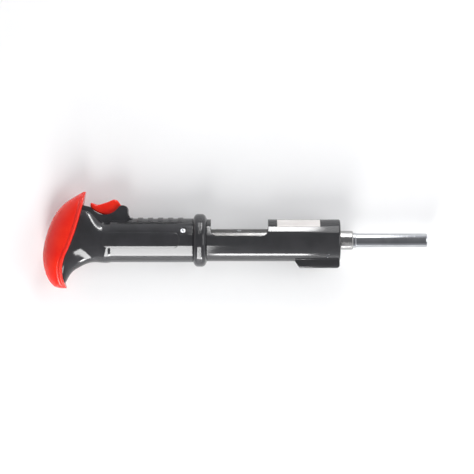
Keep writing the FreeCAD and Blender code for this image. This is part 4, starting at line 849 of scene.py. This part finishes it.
# %% Springs: the tree
coil_tree, start, end = geometry_tree("coil_spring", [
    ("Turns", "NodeSocketFloat", 6.0), ("Radius", "NodeSocketFloat", 0.005),
    ("Length", "NodeSocketFloat", 0.02), ("Wire", "NodeSocketFloat", 0.0006),
])
helix = coil_tree.nodes.new("GeometryNodeCurveSpiral")
helix.inputs["Resolution"].default_value = 32
for socket, word in (("Rotations", "Turns"), ("Start Radius", "Radius"), ("End Radius", "Radius"),
                     ("Height", "Length")):
    coil_tree.links.new(start.outputs[word], helix.inputs[socket])
section = coil_tree.nodes.new("GeometryNodeCurvePrimitiveCircle")
section.inputs["Resolution"].default_value = 12
coil_tree.links.new(start.outputs["Wire"], section.inputs["Radius"])
sweep = coil_tree.nodes.new("GeometryNodeCurveToMesh")
sweep.inputs["Fill Caps"].default_value = True
coil_tree.links.new(helix.outputs["Curve"], sweep.inputs["Curve"])
coil_tree.links.new(section.outputs["Curve"], sweep.inputs["Profile Curve"])
finish_tree(coil_tree, start, end, sweep.outputs["Mesh"])
print("coil_spring", len(coil_tree.nodes), "nodes")

# %% Springs: the pieces
def spring(name, node, way, wire, turns, from_share=0.0, to_share=1.0, body="housing"):
    """Wind a spring in the room of its node, from one share of the node's length to another."""
    low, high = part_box(node)
    middle, room = (low + high) / 2, high - low
    length = room.dot(way)
    first = length * (from_share - 0.5) + (wire if from_share == 0.0 else 0.0)
    last = length * (to_share - 0.5) - (wire if to_share == 1.0 else 0.0)
    piece = grow(name, coil_tree, bpy.data.meshes.new(name + "_seed"), {
        "Turns": turns, "Radius": room.z / 2 - wire, "Length": last - first, "Wire": wire,
    }, "spring_steel", body)
    stand = way.to_track_quat("Z", "X").to_matrix().to_4x4()
    piece.data.transform(Matrix.Translation(middle + way * first) @ stand)
    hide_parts(node)
    print(name, round((last - first) / mm, 1), "mm,", len(piece.data.polygons), "faces")
    return piece


bore_way, up_way = Vector((1.0, 0.0, 0.0)), Vector((0.0, 1.0, 0.0))
split = 0.55
return_coil = spring("return_coil", "return_spring", bore_way, 0.7 * mm, 4.5)
firing_rear = spring("firing_coil_rear", "firing_spring", bore_way, 0.65 * mm, 3.0, 0.0, split)
firing_front = spring("firing_coil_front", "firing_spring", bore_way, 0.65 * mm, 3.0, split, 1.0, "breech")
trigger_coil = spring("trigger_coil", "trigger_spring", up_way, 0.35 * mm, 4.0)

# %% [markdown]
# A real spring gets shorter when its joint moves. The firing spring answers to two joints, which is why it is
# split:
# the breech squashes its rear part, and its front part travels with the breech and is squashed by the striker.
# Here each spring only gets a mesh of its own and keeps its wound length.

# %% Springs: own meshes
def seat(piece):
    """Give a spring a mesh of its own; it keeps its wound length."""
    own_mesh(piece)


seat(return_coil)
seat(firing_rear)
seat(firing_front)
seat(trigger_coil)
